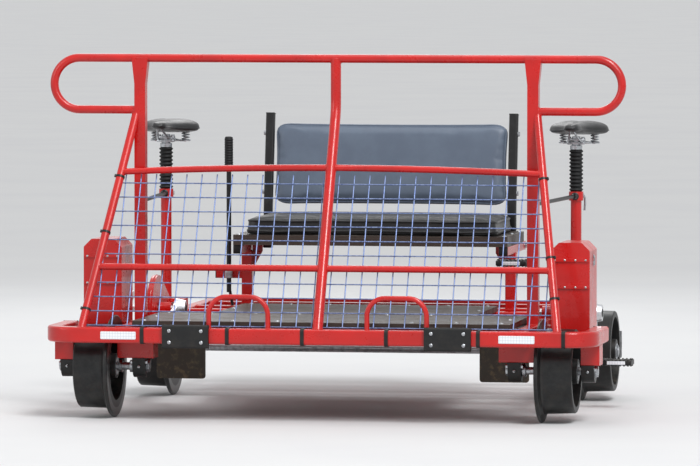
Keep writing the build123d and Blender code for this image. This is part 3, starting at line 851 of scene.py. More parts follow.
class Joint:
    """The lines along which tubes and plates meet, as points; sizes are in millimetres."""

    @staticmethod
    def box(centre: Vector, first: Vector, second: Vector, half_first: float, half_second: float) -> Line:
        """A rounded rectangle round a box tube's end."""
        return [centre + first * mm(a) + second * mm(b) for a, b in rounded(half_first, half_second, 4, 3)]

    @staticmethod
    def rim(start: Vector, way: Vector, radius: float) -> Line:
        """Points round a tube."""
        side = way.orthogonal().normalized()
        return [start + mm(radius) * (side * c + way.cross(side) * s) for c, s in around(24)]

    @classmethod
    def on_plane(cls, start: Vector, way: Vector, radius: float, point: Vector, normal: Vector) -> Line:
        """Where a round tube along a way meets a plane."""
        return [rim + way * ((point - rim).dot(normal) / way.dot(normal))
                for rim in cls.rim(start, way, radius)]

    @classmethod
    def on_tube(cls, start: Vector, way: Vector, radius: float, centre: Vector, axis: Vector,
                main_radius: float) -> Line:
        """Where a round tube that comes along a way first meets another tube.

        Args:
            start: any point on the branch's axis.
            way: the branch's direction towards the joint.
            radius: the branch's radius.
            centre: a point on the main tube's axis.
            axis: the main tube's direction.
            main_radius: the main tube's radius.

        Returns:
            The line of the joint.
        """
        flat = way - axis * way.dot(axis)
        points = []
        for rim in cls.rim(start, way, radius):
            offset = rim - centre
            offset -= axis * offset.dot(axis)
            half = flat.dot(offset)
            inside = half * half - flat.length_squared * (offset.length_squared - mm(main_radius) ** 2)
            points.append(rim + way * ((-half - math.sqrt(max(inside, 0.0))) / flat.length_squared))
        return points


class Shop:
    """What every sub-assembly draws on: finishes, recipes, and the making of finished pieces."""

    def __init__(self) -> None:
        """Builds the shared materials and recipes."""
        self.materials = {slot: finish.build() for slot, finish in FINISHES.items()}
        self.red_tape = RED_TAPE.build()
        self.hexagon = self._heads("hexagon_heads", Slot.STEEL, 6)
        self.tooth = self._heads("pedal_teeth", Slot.PLASTIC, 8)
        dome = Recipe("domed_screws")
        ball = dome.add("GeometryNodeMeshUVSphere",
                        {"Segments": 16, "Rings": 8, "Radius": dome.number("Head Radius", mm(8))})
        low = dome.add("GeometryNodeTransform", {"Geometry": ball, "Scale": (1, 1, 0.45)})
        self.dome = dome.on_points(low, self.materials[Slot.STEEL])
        self.beads = self._beads()

    def _heads(self, name: str, slot: Slot, sides: int) -> Recipe:
        """Makes a recipe for a head with flat sides on a round washer.

        Args:
            name: the recipe's name.
            slot: its finish.
            sides: of the head.

        Returns:
            The recipe.
        """
        recipe = Recipe(name)
        head, tall, washer, thick = (recipe.number(label, mm(2)) for label in (
            "Head Radius", "Head Height", "Washer Radius", "Washer Height"))
        joined = recipe.add("GeometryNodeJoinGeometry")
        for radius, height, below, count in ((washer, thick, 0.0, 20), (head, tall, thick, sides)):
            body = recipe.add("GeometryNodeMeshCylinder",
                              {"Vertices": count, "Radius": radius, "Depth": height})
            lift = recipe.add("ShaderNodeMath", {0: height, 1: 0.5, 2: below}, operation="MULTIPLY_ADD")
            raised = recipe.add("ShaderNodeCombineXYZ", {2: lift})
            part = recipe.add("GeometryNodeTransform", {"Geometry": body, "Translation": raised})
            recipe.tree.links.new(part, joined.node.inputs[0])
        return recipe.on_points(joined, self.materials[slot])

    def _beads(self) -> Recipe:
        """Makes a recipe for rippled beads: even steps along lines, every second one a little thicker.

        Returns:
            The recipe.
        """
        recipe = Recipe("weld_beads")
        radius, ripple = recipe.number("Bead Radius", mm(2.2)), recipe.number("Ripple Length", mm(2.4))
        line = recipe.add("GeometryNodeMeshToCurve", {"Mesh": recipe.source.outputs[0]})
        even = recipe.add("GeometryNodeResampleCurve", {"Curve": line, "Length": ripple}, mode="LENGTH")
        index = recipe.add("GeometryNodeInputIndex")
        odd = recipe.add("ShaderNodeMath", {0: index, 1: 2.0}, operation="MODULO")
        swell = recipe.add("ShaderNodeMath", {0: odd, 1: 0.25, 2: 0.88}, operation="MULTIPLY_ADD")
        size = recipe.add("ShaderNodeMath", {0: radius, 1: swell}, operation="MULTIPLY")
        ring = recipe.add("GeometryNodeCurvePrimitiveCircle", {"Resolution": 7, "Radius": 1.0})
        bead = recipe.add("GeometryNodeCurveToMesh",
                          {"Curve": even, "Profile Curve": ring, "Scale": size, "Fill Caps": True})
        return recipe.end(bead, self.materials[Slot.ENAMEL])

    def piece(self, name: str, mesh: BMesh | Mesh, slot: Slot, body: str = "chassis", sharp: float = 40,
              material: bpy.types.Material | None = None) -> Piece:
        """Turns a mesh into a finished piece that rides on a body.

        Args:
            name: the piece's name.
            mesh: a bmesh, which is freed, or a ready mesh.
            slot: the record's slot, which gives the finish.
            body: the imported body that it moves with.
            sharp: edges that turn by more than this many degrees stay sharp.
            material: a finish of its own, in place of the slot's.

        Returns:
            The new object, at the origin.
        """
        data = meshed(mesh, name) if isinstance(mesh, BMesh) else mesh
        data.name = name
        data.materials.clear()
        data.materials.append(material or self.materials[slot])
        data.polygons.foreach_set("use_smooth", [True] * len(data.polygons))
        data.set_sharp_from_angle(angle=math.radians(sharp))
        made = placed(data, name)
        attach(made, body)
        log.info("piece %s on %s: %d faces", name, body, len(data.polygons))
        return made

    def turnings(self, name: str, slot: Slot, profile: Flat, places: Places, steps: int = 32,
                 ring: bool = False, body: str = "chassis") -> Piece:
        """Makes one piece of equal turned forms.

        Args:
            name: the piece's name.
            slot: the record's slot.
            profile: as for turned().
            places: each a foot and an axis.
            steps: faces round a form.
            ring: as for turned().
            body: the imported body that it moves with.

        Returns:
            The piece.
        """
        mesh = bmesh.new()
        for foot, axis in places:
            turned(mesh, profile, foot, axis, steps, ring)
        return self.piece(name, mesh, slot, body)

    def fasten(self, name: str, recipe: Recipe, places: Places, body: str = "chassis",
               slot: Slot = Slot.STEEL, **sizes: float) -> None:
        """Sets a recipe's form on places, each a point and a direction, as one piece on one body."""
        points, ways = zip(*places)
        self.piece(name, recipe.bake(skeleton(name + "_points", points, way=ways), **sizes), slot, body, 30)

    def bolts(self, name: str, places: Places, thread: float, body: str = "chassis") -> None:
        """Sets hexagon heads on washers, sized by their thread in millimetres."""
        self.fasten(name, self.hexagon, places, body, Head_Radius=0.98 * thread, Head_Height=0.64 * thread,
                    Washer_Radius=1.1 * thread, Washer_Height=0.2 * thread)

    def weld(self, name: str, rings: Sequence[Line], lines: Sequence[Line] = ()) -> None:
        """Lays beads along closed rings and open lines as one piece.

        Args:
            name: the piece's name.
            rings: lines that join their own start.
            lines: lines that end.
        """
        points, edges = [], []
        for line in (*rings, *lines):
            first, last = len(points), len(points) + len(line) - 1
            points.extend(line)
            edges.extend((i, i + 1) for i in range(first, last))
            if any(line is ring for ring in rings):
                edges.append((last, first))
        self.piece(name, self.beads.bake(skeleton(name + "_lines", points, edges)), Slot.ENAMEL, sharp=80)


@dataclass
class Part:
    """A sub-assembly, which draws on the shop."""

    shop: Shop


@dataclass
class Studio:
    """A pale floor, soft lamps and the camera at the photograph's viewing angle, placed in metres."""

    camera_place: tuple[float, float, float] = (3.429, -20.18, 1.577)
    aim: tuple[float, float, float] = (0.02, -0.35, 0.585)
    lens: float = 318
    sensor: float = 36
    sight: float = 2000
    floor_half: float = 400
    lamps: tuple = (("key", (3.4, -5.2, 4.4), 3.0, 120), ("fill", (-4.8, -4.4, 2.8), 3.4, 60),
                    ("rim", (-1.2, 5.0, 4.0), 3.0, 70), ("top", (0.0, -0.6, 5.4), 3.6, 50))
    lamp_aim: tuple[float, float, float] = (0, 0, 0.5)
    sun_way: tuple[float, float, float] = (-0.4, 0.55, -0.9)
    sun_degrees: float = 18
    sun_power: float = 1.7
    soft_light: float = 0.42
    backdrop: str = "#E9EAEB"

    def build(self) -> None:
        """Sets up the camera, the floor, the area lamps, a wide soft sun and the world."""
        data = bpy.data.cameras.new("camera")
        data.sensor_width, data.lens, data.clip_end = self.sensor, self.lens, self.sight
        place = Vector(self.camera_place)
        bpy.context.scene.camera = placed(data, "camera", place, Vector(self.aim) - place)
        mesh = bmesh.new()
        bmesh.ops.create_grid(mesh, x_segments=4, y_segments=4, size=self.floor_half)
        floor = placed(meshed(mesh, "floor"), "floor")
        floor.data.materials.append(FLOOR_PAINT.build())
        for name, lamp_place, size, power in self.lamps:
            data = bpy.data.lights.new(name, "AREA")
            data.shape, data.size, data.energy = "DISK", size, power
            placed(data, name, Vector(lamp_place), Vector(self.lamp_aim) - Vector(lamp_place))
        data = bpy.data.lights.new("sun", "SUN")
        data.angle, data.energy = math.radians(self.sun_degrees), self.sun_power
        placed(data, "sun", Vector(), Vector(self.sun_way))
        self._world()

    def _world(self) -> None:
        """Lights the vehicle softly all round, and shows a pale backdrop to the camera and in gloss."""
        world = bpy.data.worlds.new("studio")
        world.use_nodes = True
        tree = world.node_tree
        tree.nodes.clear()
        soft, shown = (add_node(tree, "ShaderNodeBackground", {"Color": colour, "Strength": strength})
                       for colour, strength in (("#FFFFFF", self.soft_light), (self.backdrop, 1.0)))
        ray = add_node(tree, "ShaderNodeLightPath").outputs
        seen = ray["Is Camera Ray"]
        for other in ("Is Transmission Ray", "Is Glossy Ray"):
            seen = add_node(tree, "ShaderNodeMath", {0: seen, 1: ray[other]}, operation="MAXIMUM").outputs[0]
        mixed = add_node(tree, "ShaderNodeMixShader", {0: seen, 1: soft.outputs[0], 2: shown.outputs[0]})
        add_node(tree, "ShaderNodeOutputWorld", {0: mixed.outputs[0]})
        bpy.context.scene.world = world
        bpy.context.scene.view_settings.view_transform = "Standard"


@dataclass
class Guard(Part):
    """The sloping guard: its welded mesh of round wires, its tubes' welds, and the mesh's cable ties."""

    foot_across: float = 768
    foot_depth: float = 30
    foot_height: float = 274
    head_across: float = 656
    head_depth: float = 370
    head_height: float = 958
    side_radius: float = 13.45
    rail_radius: float = 10.65
    upright_radius: float = 16.85
    upright_forward: float = 3.4
    rails: tuple = ((545, 18), (210, 0))
    handrail: tuple[float, float] = (370, 1128)
    loop_height: float = 960
    branch: float = 100
    pitch: float = 50
    wire: float = 4
    first_row: float = 12
    rows: int = 11
    columns: int = 15
    ties: tuple = ((1, (110, 252, 526)), (-1, (60, 330, 526)))
    tie_band: tuple = ((14.2, -4), (15.2, -3.4), (15.2, 3.4), (14.2, 4))
    tie_lock: tuple = ((13.5, -4, -4.5), (19, 4, 4.5))

    def __post_init__(self) -> None:
        """Works out the guard's plane: the way up it, the way out of it, and how its half width falls."""
        rise = at(0, self.head_depth, self.head_height) - at(0, self.foot_depth, self.foot_height)
        self.slope = rise.normalized()
        self.outwards = X.cross(self.slope)
        self.taper = mm(self.foot_across - self.head_across) / rise.length

    def local(self, across: float, up: float, out: float = 0) -> Vector:
        """A point in the guard's plane: millimetres across, up the slope and out towards the front."""
        return at(across, self.foot_depth, self.foot_height) + mm(up) * self.slope + mm(out) * self.outwards

    def side_tube(self, side: int) -> tuple[Vector, Vector]:
        """A side tube's foot and direction."""
        foot = self.local(side * self.foot_across, 0)
        return foot, (at(side * self.head_across, self.head_depth, self.head_height) - foot).normalized()

    def build(self) -> None:
        """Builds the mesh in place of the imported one: level rows, and columns cut to the side tubes."""
        recipe = Recipe("straight_wires")
        radius = recipe.number("Wire Radius", mm(self.wire) / 2)
        wire = recipe.add("GeometryNodeMeshCylinder", {"Vertices": 8, "Radius": radius, "Depth": 1.0})
        long = recipe.add("GeometryNodeInputNamedAttribute", {"Name": "long"}, data_type="FLOAT")
        scale = recipe.add("ShaderNodeCombineXYZ", {0: 1.0, 1: 1.0, 2: long})
        recipe.on_points(wire, self.shop.materials[Slot.WIRE], scale=scale)
        behind = -self.side_radius - self.wire / 2
        wires = []
        for row in range(self.rows):
            up = self.first_row + self.pitch * row
            wires.append((self.local(0, up, behind), 2 * mm(self.foot_across - self.taper * up), X))
        for column in range(self.columns):
            across = self.pitch * (column + 0.5)
            limit = min(self.rails[0][0], (self.foot_across - across) / self.taper)
            for side in SIDES:
                middle = self.local(side * across, (self.first_row + limit) / 2, behind - 0.85 * self.wire)
                wires.append((middle, mm(limit - self.first_row), self.slope))
        middles, lengths, ways = zip(*wires)
        start = skeleton("wire_middles", middles, way=ways, long=lengths)
        made = recipe.bake(start, Wire_Radius=self.wire / 2)
        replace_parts(self.shop.piece("welded_guard_mesh", made, Slot.WIRE), "guard_mesh")

    def weld(self) -> None:
        """Welds the guard's round tubes to each other, to the bumper and to the handrail."""
        floor = at(0, 0, self.foot_height)
        depth, height = self.handrail
        upright = (self.local(0, 0, self.upright_forward), self.slope, self.upright_radius)
        top = at(0, depth, height)
        rings = [Joint.on_plane(upright[0], -self.slope, self.upright_radius, floor, Z),
                 Joint.on_tube(top, Z, self.upright_radius, top, X, self.side_radius)]
        for side in SIDES:
            foot, lean = self.side_tube(side)
            tube_line = (foot, lean, self.side_radius)
            rings.append(Joint.on_plane(foot, -lean, self.side_radius, floor, Z))
            rings.append(Joint.on_tube(*tube_line, at(0, depth, self.loop_height), X, self.side_radius))
            for up, bow in self.rails:
                end = self.foot_across - self.taper * up
                fall = (1 - self.branch / end) ** 2
                start = self.local(side * (end - self.branch), up + bow * (1 - fall))
                way = (self.local(side * end, up) - start).normalized()
                rings.append(Joint.on_tube(start, way, self.rail_radius, *tube_line))
                inner = self.local(side * self.branch, up + bow)
                rings.append(Joint.on_tube(inner, X * -side, self.rail_radius, *upright))
        self.shop.weld("guard_welds", rings)

    def tie(self) -> None:
        """Ties the mesh to the side tubes with cable ties, each with its lock outwards."""
        mesh = bmesh.new()
        for side, ups in self.ties:
            lean = self.side_tube(side)[1]
            for up in ups:
                centre = self.local(side * (self.foot_across - self.taper * up), up)
                turned(mesh, self.tie_band, centre, lean, 28)
                turn = Matrix.Translation(centre) @ facing(lean)
                out = turn.inverted().to_3x3() @ Vector((side, -0.4, 0))
                turn @= Matrix.Rotation(math.atan2(out.y, out.x), 4, "Z")
                block(mesh, *(mm(*corner) for corner in self.tie_lock), 1, turn)
        self.shop.piece("guard_cable_ties", mesh, Slot.PLASTIC)


@dataclass
class Frame(Part):
    """Welds of the frame, and plastic caps over the ends of its box tubes."""

    rail_inner: float = 624
    rail_outer: float = 664
    rail_ends: tuple[float, float] = (50, 1620)
    rail_low: float = 224
    rail_top: float = 274
    members: tuple[float, ...] = (110, 505, 1020, 1210, 1440)
    hoop_legs: tuple[float, float] = (160, 352)
    tube_half: float = 20
    feet: tuple = ((644, 370, 274, 18, 18), (644, 1030, 274, 18, 32), (450, 1210, 274, 18, 18),
                   (450, 1210, 459, 18, 15), (644, 205, 224, 20, 40), (865, 205, 224, 21, 40),
                   (644, 1170, 224, 18, 68))
    saddle_post: tuple[float, float, float] = (694, 1030, 308)
    post_radius: float = 18
    handrail_end: tuple[float, float, float] = (662, 370, 960)
    handrail_radius: float = 13.45
    hoop_depth: float = 20
    hoop_radius: float = 8
    seams: tuple = ((1210, 3, ((432, 399), (432, 458), (400, 458))),
                    (370, 13.8, ((619, 1128), (669, 1128))))
    tow_seam: tuple[float, float, float] = (44, 1670, 6)
    caps: tuple = (((664, 667.5), (1620, 1670), (224, 274), 1.6),
                   ((844, 894), (330, 333.5), (224, 274), 1.6),
                   ((435, 465), (1026.5, 1030), (459, 489), 1.6),
                   ((435, 465), (1445, 1448.5), (459, 489), 1.6))
    cap_edge: float = 1.6
    post_cap: tuple = ((-15.5, -13, -1.5), (15.5, 13, 2.5))
    lever_cap: tuple = ((-558.5, 1195, 367), (-555, 1225, 397))
    lean: float = 9
    back_post: tuple[float, float, float] = (420, 1432.5, 600)
    post_rise: float = 316

    def weld(self) -> None:
        """Welds box tubes, posts, brackets, hoops, gussets and the tow plate."""
        middle, half = (self.rail_low + self.rail_top) / 2, (self.rail_top - self.rail_low) / 2
        rail = (self.rail_inner + self.rail_outer) / 2
        rings = [Joint.box(at(side * self.rail_inner, depth, middle), Y, Z, self.tube_half, half)
                 for depth in self.members for side in reversed(SIDES)]
        rings += [Joint.box(at(side * rail, depth, middle), X, Z, self.tube_half, half)
                  for side in SIDES for depth in self.rail_ends]
        lines, hoops = [], []
        for side in SIDES:
            for x, depth, height, half_x, half_y in self.feet:
                rings.append(Joint.box(at(side * x, depth, height), X, Y, half_x, half_y))
            post = at(side * self.saddle_post[0], *self.saddle_post[1:])
            rings.append(Joint.on_plane(post, Z, self.post_radius, post, Z))
            end = at(side * self.handrail_end[0], *self.handrail_end[1:])
            rings.append(Joint.on_plane(end, X * side, self.handrail_radius, end, X))
            for leg in sorted(side * leg for leg in self.hoop_legs):
                foot = at(leg, self.hoop_depth, self.rail_top)
                hoops.append(Joint.on_plane(foot, Z, self.hoop_radius, foot, Z))
            for face in reversed(SIDES):
                for depth, thick, points in self.seams:
                    lines.append([at(side * x, depth + face * thick, z) for x, z in points])
        across, depth, thick = self.tow_seam
        for face in reversed(SIDES):
            lines.append([at(side * across, depth, middle + face * thick) for side in reversed(SIDES)])
        self.shop.weld("frame_welds", rings + hoops, lines)

    def cap_ends(self) -> None:
        """Caps the bumper, the rear beam, the bench's bearers and posts, and the brake lever's bar."""
        mesh = blocks(bmesh.new(), self.caps)
        lean = math.radians(self.lean)
        for foot, _ in both(self.back_post):
            head = foot + mm(0, self.post_rise * math.tan(lean), self.post_rise)
            turn = Matrix.Translation(head) @ Matrix.Rotation(-lean, 4, "X")
            block(mesh, *(mm(*corner) for corner in self.post_cap), self.cap_edge, turn)
        block(mesh, *(at(*corner) for corner in self.lever_cap), self.cap_edge)
        self.shop.piece("tube_end_caps", mesh, Slot.PLASTIC)


@dataclass
class RunningGear(Part):
    """Nuts, bearing bolts, shaft collars, grease nipples, seals and wheel bolts."""

    front: float = 205
    rear: float = 1170
    height: float = 137
    web: tuple[float, float] = (730, 746)
    bolt_circle: float = 75
    hub: tuple[float, float] = (812, 690)
    axle_ends: tuple[float, float] = (868, 590)
    bearings: tuple = ((868, 1, 205, 26, 144), (590, -1, 205, 26, 151), (632, 1, 205, 26, 151),
                       (626, -1, 1170, 42, 176))
    nipples: tuple = ((847, 169), (611, 169), (644, 1134))
    nipple: tuple = ((4.5, -1), (4.5, 3), (2.6, 4), (2.6, 7), (3.4, 8.2), (2.2, 10), (0, 10.4))
    collars: tuple[float, float] = (640, 676)
    collar: tuple = ((18, -6), (20, -5), (20, 5), (18, 6))
    seal: tuple = ((14.5, -1), (29, -1), (29, 0.8), (27, 1.4), (16, 1.4), (14.5, 0.6))

    def build(self) -> None:
        """Fits the nuts, and the bolts, nipples and collars of the bearings."""
        shop = self.shop
        outer, inner = ((x, self.front, self.height) for x in self.axle_ends)
        shop.fasten("front_axle_nuts", shop.hexagon, both(outer, way=X) + both(inner, way=-X),
                    Head_Radius=18, Head_Height=7, Washer_Radius=20, Washer_Height=2)
        shop.fasten("rear_axle_nuts", shop.hexagon, both((self.hub[0], self.rear, self.height), way=X),
                    "rear_wheelset", Head_Radius=20, Head_Height=5, Washer_Radius=26, Washer_Height=2)
        bolts = [both((x, depth - half, seat), (x, depth + half, seat), way=X * way)
                 for x, way, depth, half, seat in self.bearings]
        shop.bolts("bearing_bolts", sum(bolts, []), 8)
        shop.turnings("grease_nipples", Slot.STEEL, self.nipple,
                      both(*((*place, self.height) for place in self.nipples), way=-Y), 16)
        shop.turnings("shaft_collars", Slot.STEEL, self.collar,
                      both(*((x, self.front, self.height) for x in self.collars), way=X))
        self._wheels()

    def _wheels(self) -> None:
        """Six bolts through each wheel's web, and seals at the front wheels' hubs."""
        places = defaultdict(list)
        wheels = (("front_wheel_left", 1, self.front), ("front_wheel_right", -1, self.front),
                  ("rear_wheelset", 1, self.rear), ("rear_wheelset", -1, self.rear))
        for body, side, depth in wheels:
            for face, way in zip(self.web, (-side, side)):
                for k in range(6):
                    angle = math.radians(30 + 60 * k)
                    places[body].append((at(side * face, depth + self.bolt_circle * math.cos(angle),
                                            self.height + self.bolt_circle * math.sin(angle)), X * way))
        for body, bolts in places.items():
            self.shop.bolts(f"wheel_bolts_{body}", bolts, 7, body)
        for body, side, depth in wheels[:2]:
            seats = [(at(side * face, depth, self.height), X * side * way)
                     for face, way in zip(self.hub, SIDES)]
            self.shop.turnings(f"hub_seals_{body}", Slot.STEEL, self.seal, seats, 36, True, body)


@dataclass
class Pedal(Part):
    """A resin platform pedal: bearing barrel, toothed cage and a reflector on each long side."""

    node: str
    bars: tuple = (((-50, 50), (33, 42), 8, 2), ((42, 50), (-33, 33), 9, 2), ((13, 19), (-33, 33), 7, 1.4),
                   ((-41, 41), (18.5, 23.5), 6, 1.2))
    teeth: tuple = ((-39, 13, 7, 37.5), (-18, 12, 4, 46))
    reflector: tuple[float, float, float] = (30, 40, 6)
    proud: float = 2.7
    barrel: tuple = ((6.3, -46), (9.5, -46), (11.5, -44), (11.5, -20), (10, -12), (10, 12), (11.5, 20),
                     (11.5, 44), (9.5, 46), (6.3, 46))

    def build(self) -> None:
        """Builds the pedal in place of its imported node, which is also its body's name."""
        low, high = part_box(self.node)
        centre = (low + high) / 2
        turn = Matrix.Translation(centre)
        mesh = bmesh.new()
        for (left, right), (front, rear), high, edge in self.bars:
            for side in SIDES:
                block(mesh, mm(side * left, side * front, -high), mm(side * right, side * rear, high),
                      edge, turn)
        turned(mesh, self.barrel, centre, X, 28, True)
        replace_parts(self.shop.piece(f"cage_{self.node}", mesh, Slot.PLASTIC, self.node), self.node)
        (first, step, count, line), (front, pace, number, end) = self.teeth
        teeth = [(first + step * k, side * line, 8) for side in SIDES for k in range(count)]
        teeth += [(side * end, front + pace * k, 9) for side in SIDES for k in range(number)]
        places = [(centre + mm(x, y, z * up), Z * up) for up in SIDES for x, y, z in teeth]
        self.shop.fasten(f"teeth_{self.node}", self.shop.tooth, places, self.node, Slot.PLASTIC,
                         Head_Radius=3.2, Head_Height=2, Washer_Radius=3.6, Washer_Height=1)
        x, y, z = self.reflector
        for label, side, material in (("front", -1, None), ("rear", 1, self.shop.red_tape)):
            mesh = bmesh.new()
            block(mesh, mm(-x, side * y, -z), mm(x, side * (y + self.proud), z), 0.9, turn)
            self.shop.piece(f"{label}_reflector_{self.node}", mesh, Slot.TAPE, self.node, material=material)


@dataclass
class Drive(Part):
    """The cranks' bolt covers, the chain cases' seams and screws, and the four pedals."""

    crank_x: float = 695
    depth: float = 756
    height: float = 290
    boss_reach: float = 123
    case_seam: float = 672
    case_face: float = 684
    seal_face: float = 729
    case_radii: tuple[float, float] = (110, 50)
    run: tuple[float, float] = (414, -153)
    cover: tuple = ((13.5, -1), (13.5, 1.2), (11.5, 1.6), (11, 0.5), (4, 0.5), (3.4, 1.3), (0, 1.4))
    seal: tuple = ((11, -1), (22, -1), (22, 1.5), (19, 4), (12.5, 4.5), (11, 3))

    def outline(self, across: float, inset: float, spacing: float) -> list[tuple[float, float, float]]:
        """Even points round the chain case, along both arcs and the straight runs between them.

        Args:
            across: their distance from the vehicle's middle.
            inset: how far they lie in from the case's edge.
            spacing: about how far apart they are.

        Returns:
            Millimetres across, behind the bumper's face and above the rail head.
        """
        front, rear = (radius - inset for radius in self.case_radii)
        way = math.atan2(self.run[1], self.run[0])
        swing = math.acos((front - rear) / math.hypot(*self.run))
        arcs = ((front, (0, 0), way + swing, 2 * math.pi - 2 * swing, 40),
                (rear, self.run, way - swing, 2 * swing, 20))
        points = []
        for radius, (y, z), start, sweep, count in arcs:
            for angle in (start + sweep * k / count for k in range(count + 1)):
                points.append((self.depth + y + radius * math.cos(angle),
                               self.height + z + radius * math.sin(angle)))
        return [(across, *point) for point in spread(points, spacing)]

    def build(self) -> None:
        """Fits dust covers in the crank bosses, the pedals, and each case's joint band, screws and seal."""
        shop = self.shop
        for side, name in zip(SIDES, ("left", "right")):
            bosses = [(at(side * (self.crank_x + way * self.boss_reach), self.depth, self.height),
                       X * side * way) for way in SIDES]
            shop.turnings(f"bolt_covers_crank_{name}", Slot.PLASTIC, self.cover, bosses, body=f"crank_{name}")
            for place in ("outer", "inner"):
                Pedal(shop, f"pedal_{place}_{name}").build()
        bands = bmesh.new()
        for side in SIDES:
            ring = [at(side * x, depth, height) for x, depth, height in self.outline(self.case_seam, -0.4, 8)]
            tube(bands, ring, 1.8, 8, closed=True)
        shop.piece("chain_case_joints", bands, Slot.ENAMEL)
        shop.turnings("crank_boss_seals", Slot.RUBBER, self.seal,
                      both((self.seal_face, self.depth, self.height), way=X), ring=True)
        shop.fasten("chain_case_screws", shop.dome, both(*self.outline(self.case_face, 10, 92), way=X),
                    Head_Radius=4.5)


@dataclass
class SideBoxes(Part):
    """Rivets along each box's lips, two hinges behind its lid and a latch on its outer side."""

    middle: float = 767
    face: float = 343
    hinge_line: float = 525
    lips: tuple[float, float] = (484, 397)
    rivet_steps: tuple[float, ...] = (-50, -17, 17, 50)
    hinge_steps: tuple[float, float] = (-34, 34)
    knuckle: tuple = ((3.4, -20), (4.2, -19.4), (4.2, 19.4), (3.4, 20))
    latch: tuple = (((829, 833), (428, 446), (462, 478), 1.2), ((829, 833), (430, 444), (488, 499), 1.2),
                    ((832, 836), (433, 441), (465, 494), 1.2))

    def build(self) -> None:
        """Fits the rivets, hinges and latches."""
        rivets = [(self.middle + step, self.face, lip) for lip in self.lips for step in self.rivet_steps]
        self.shop.fasten("box_rivets", self.shop.dome, both(*rivets, way=-Y), Head_Radius=3.6)
        hinges = bmesh.new()
        lines = [(self.middle + step, self.hinge_line, self.lips[0]) for step in self.hinge_steps]
        for foot, _ in both(*lines):
            turned(hinges, self.knuckle, foot, X, 16)
            block(hinges, foot + mm(-18, -4, -16), foot + mm(18, -1.4, 16), 0.7)
        self.shop.piece("box_hinges", hinges, Slot.STEEL)
        self.shop.piece("box_latches", blocks(bmesh.new(), self.latch), Slot.STEEL)


@dataclass
class Deck(Part):
    """Screws in the floor board, clamping bars over the flaps, and the bumper pads' screws."""

    board_top: float = 292
    screw_rows: tuple = ((110, 580, 9), (505, 580, 9), (1020, 400, 7), (300, 580, 2), (760, 410, 2))
    bars: tuple = (((458, 610), (476, 480), (244, 266), 1),)
    flap_bolts: tuple = ((478, 476, 255), (534, 476, 255), (590, 476, 255))
    pad_bolts: tuple = ((371, -12, 229), (371, -12, 266), (475, -12, 229), (475, -12, 266))

    def build(self) -> None:
        """Fits the screws, bars and bolts."""
        shop = self.shop
        shop.fasten("floor_screws", shop.dome, [
            (at(half * (2 * k / (count - 1) - 1), depth, self.board_top), Z)
            for depth, half, count in self.screw_rows for k in range(count)], Head_Radius=7)
        shop.piece("flap_clamping_bars", blocks(bmesh.new(), self.bars), Slot.STEEL)
        shop.bolts("flap_bolts", both(*self.flap_bolts, way=-Y), 6)
        shop.fasten("bumper_pad_bolts", shop.dome, both(*self.pad_bolts, way=-Y), Head_Radius=6)


@dataclass
class SaddlePosts(Part):
    """Height clamps round the saddle posts' collars, their levers, and the tie rods' ends."""

    collar: tuple[float, float, float] = (694, 1030, 661)
    pin: tuple = ((7, -21), (8, -20), (8, -12), (4, -11), (4, 16), (8, 17), (8, 20), (7, 21))
    handle: tuple = ((21, 31, 0), (24, 40, -8), (24, 46, -26), (22, 46, -50))
    rod_ends: tuple = ((649, 388, 661), (694, 1003, 661))
    socket: tuple = ((12, 0), (13, 1), (13, 5), (10, 7), (10, 26), (9, 28), (7, 34))

    def build(self) -> None:
        """Fits the clamps, levers and rod ends."""
        clamps, levers = bmesh.new(), bmesh.new()
        for centre, way in both(self.collar, way=X):
            block(clamps, centre + mm(-11, 20, -12), centre + mm(11, 38, 12), 2.5)
            turned(levers, self.pin, centre + mm(0, 31, 0), way, 20)
            tube(levers, [centre + mm(way.x * x, y, z) for x, y, z in self.handle], 3.6)
        self.shop.piece("post_clamps", clamps, Slot.ENAMEL)
        self.shop.piece("clamp_levers", levers, Slot.STEEL)
        front, rear = self.rod_ends
        self.shop.turnings("tie_rod_ends", Slot.PLASTIC, self.socket,
                           both(front, way=Y) + both(rear, way=-Y), 24)


@dataclass
class BenchBolts(Part):
    """Coach bolts through the seat pan, and bolts through the back posts and their feet."""

    pan: tuple = ((450, 1050, 523), (450, 1225, 523), (450, 1395, 523))
    lean: float = 9
    post: tuple[float, float, float] = (435, 1432.5, 600)
    rises: tuple[float, float] = (50, 250)
    foot: tuple[float, float, float] = (465, 1432.5, 474)

    def build(self) -> None:
        """Sets both kinds of bolt."""
        self.shop.fasten("seat_pan_bolts", self.shop.dome, both(*self.pan), Head_Radius=8)
        slope = math.tan(math.radians(self.lean))
        posts = [(self.post[0], self.post[1] + rise * slope, self.post[2] + rise) for rise in self.rises]
        self.shop.bolts("bench_back_bolts", both(*posts, self.foot, way=X), 8)


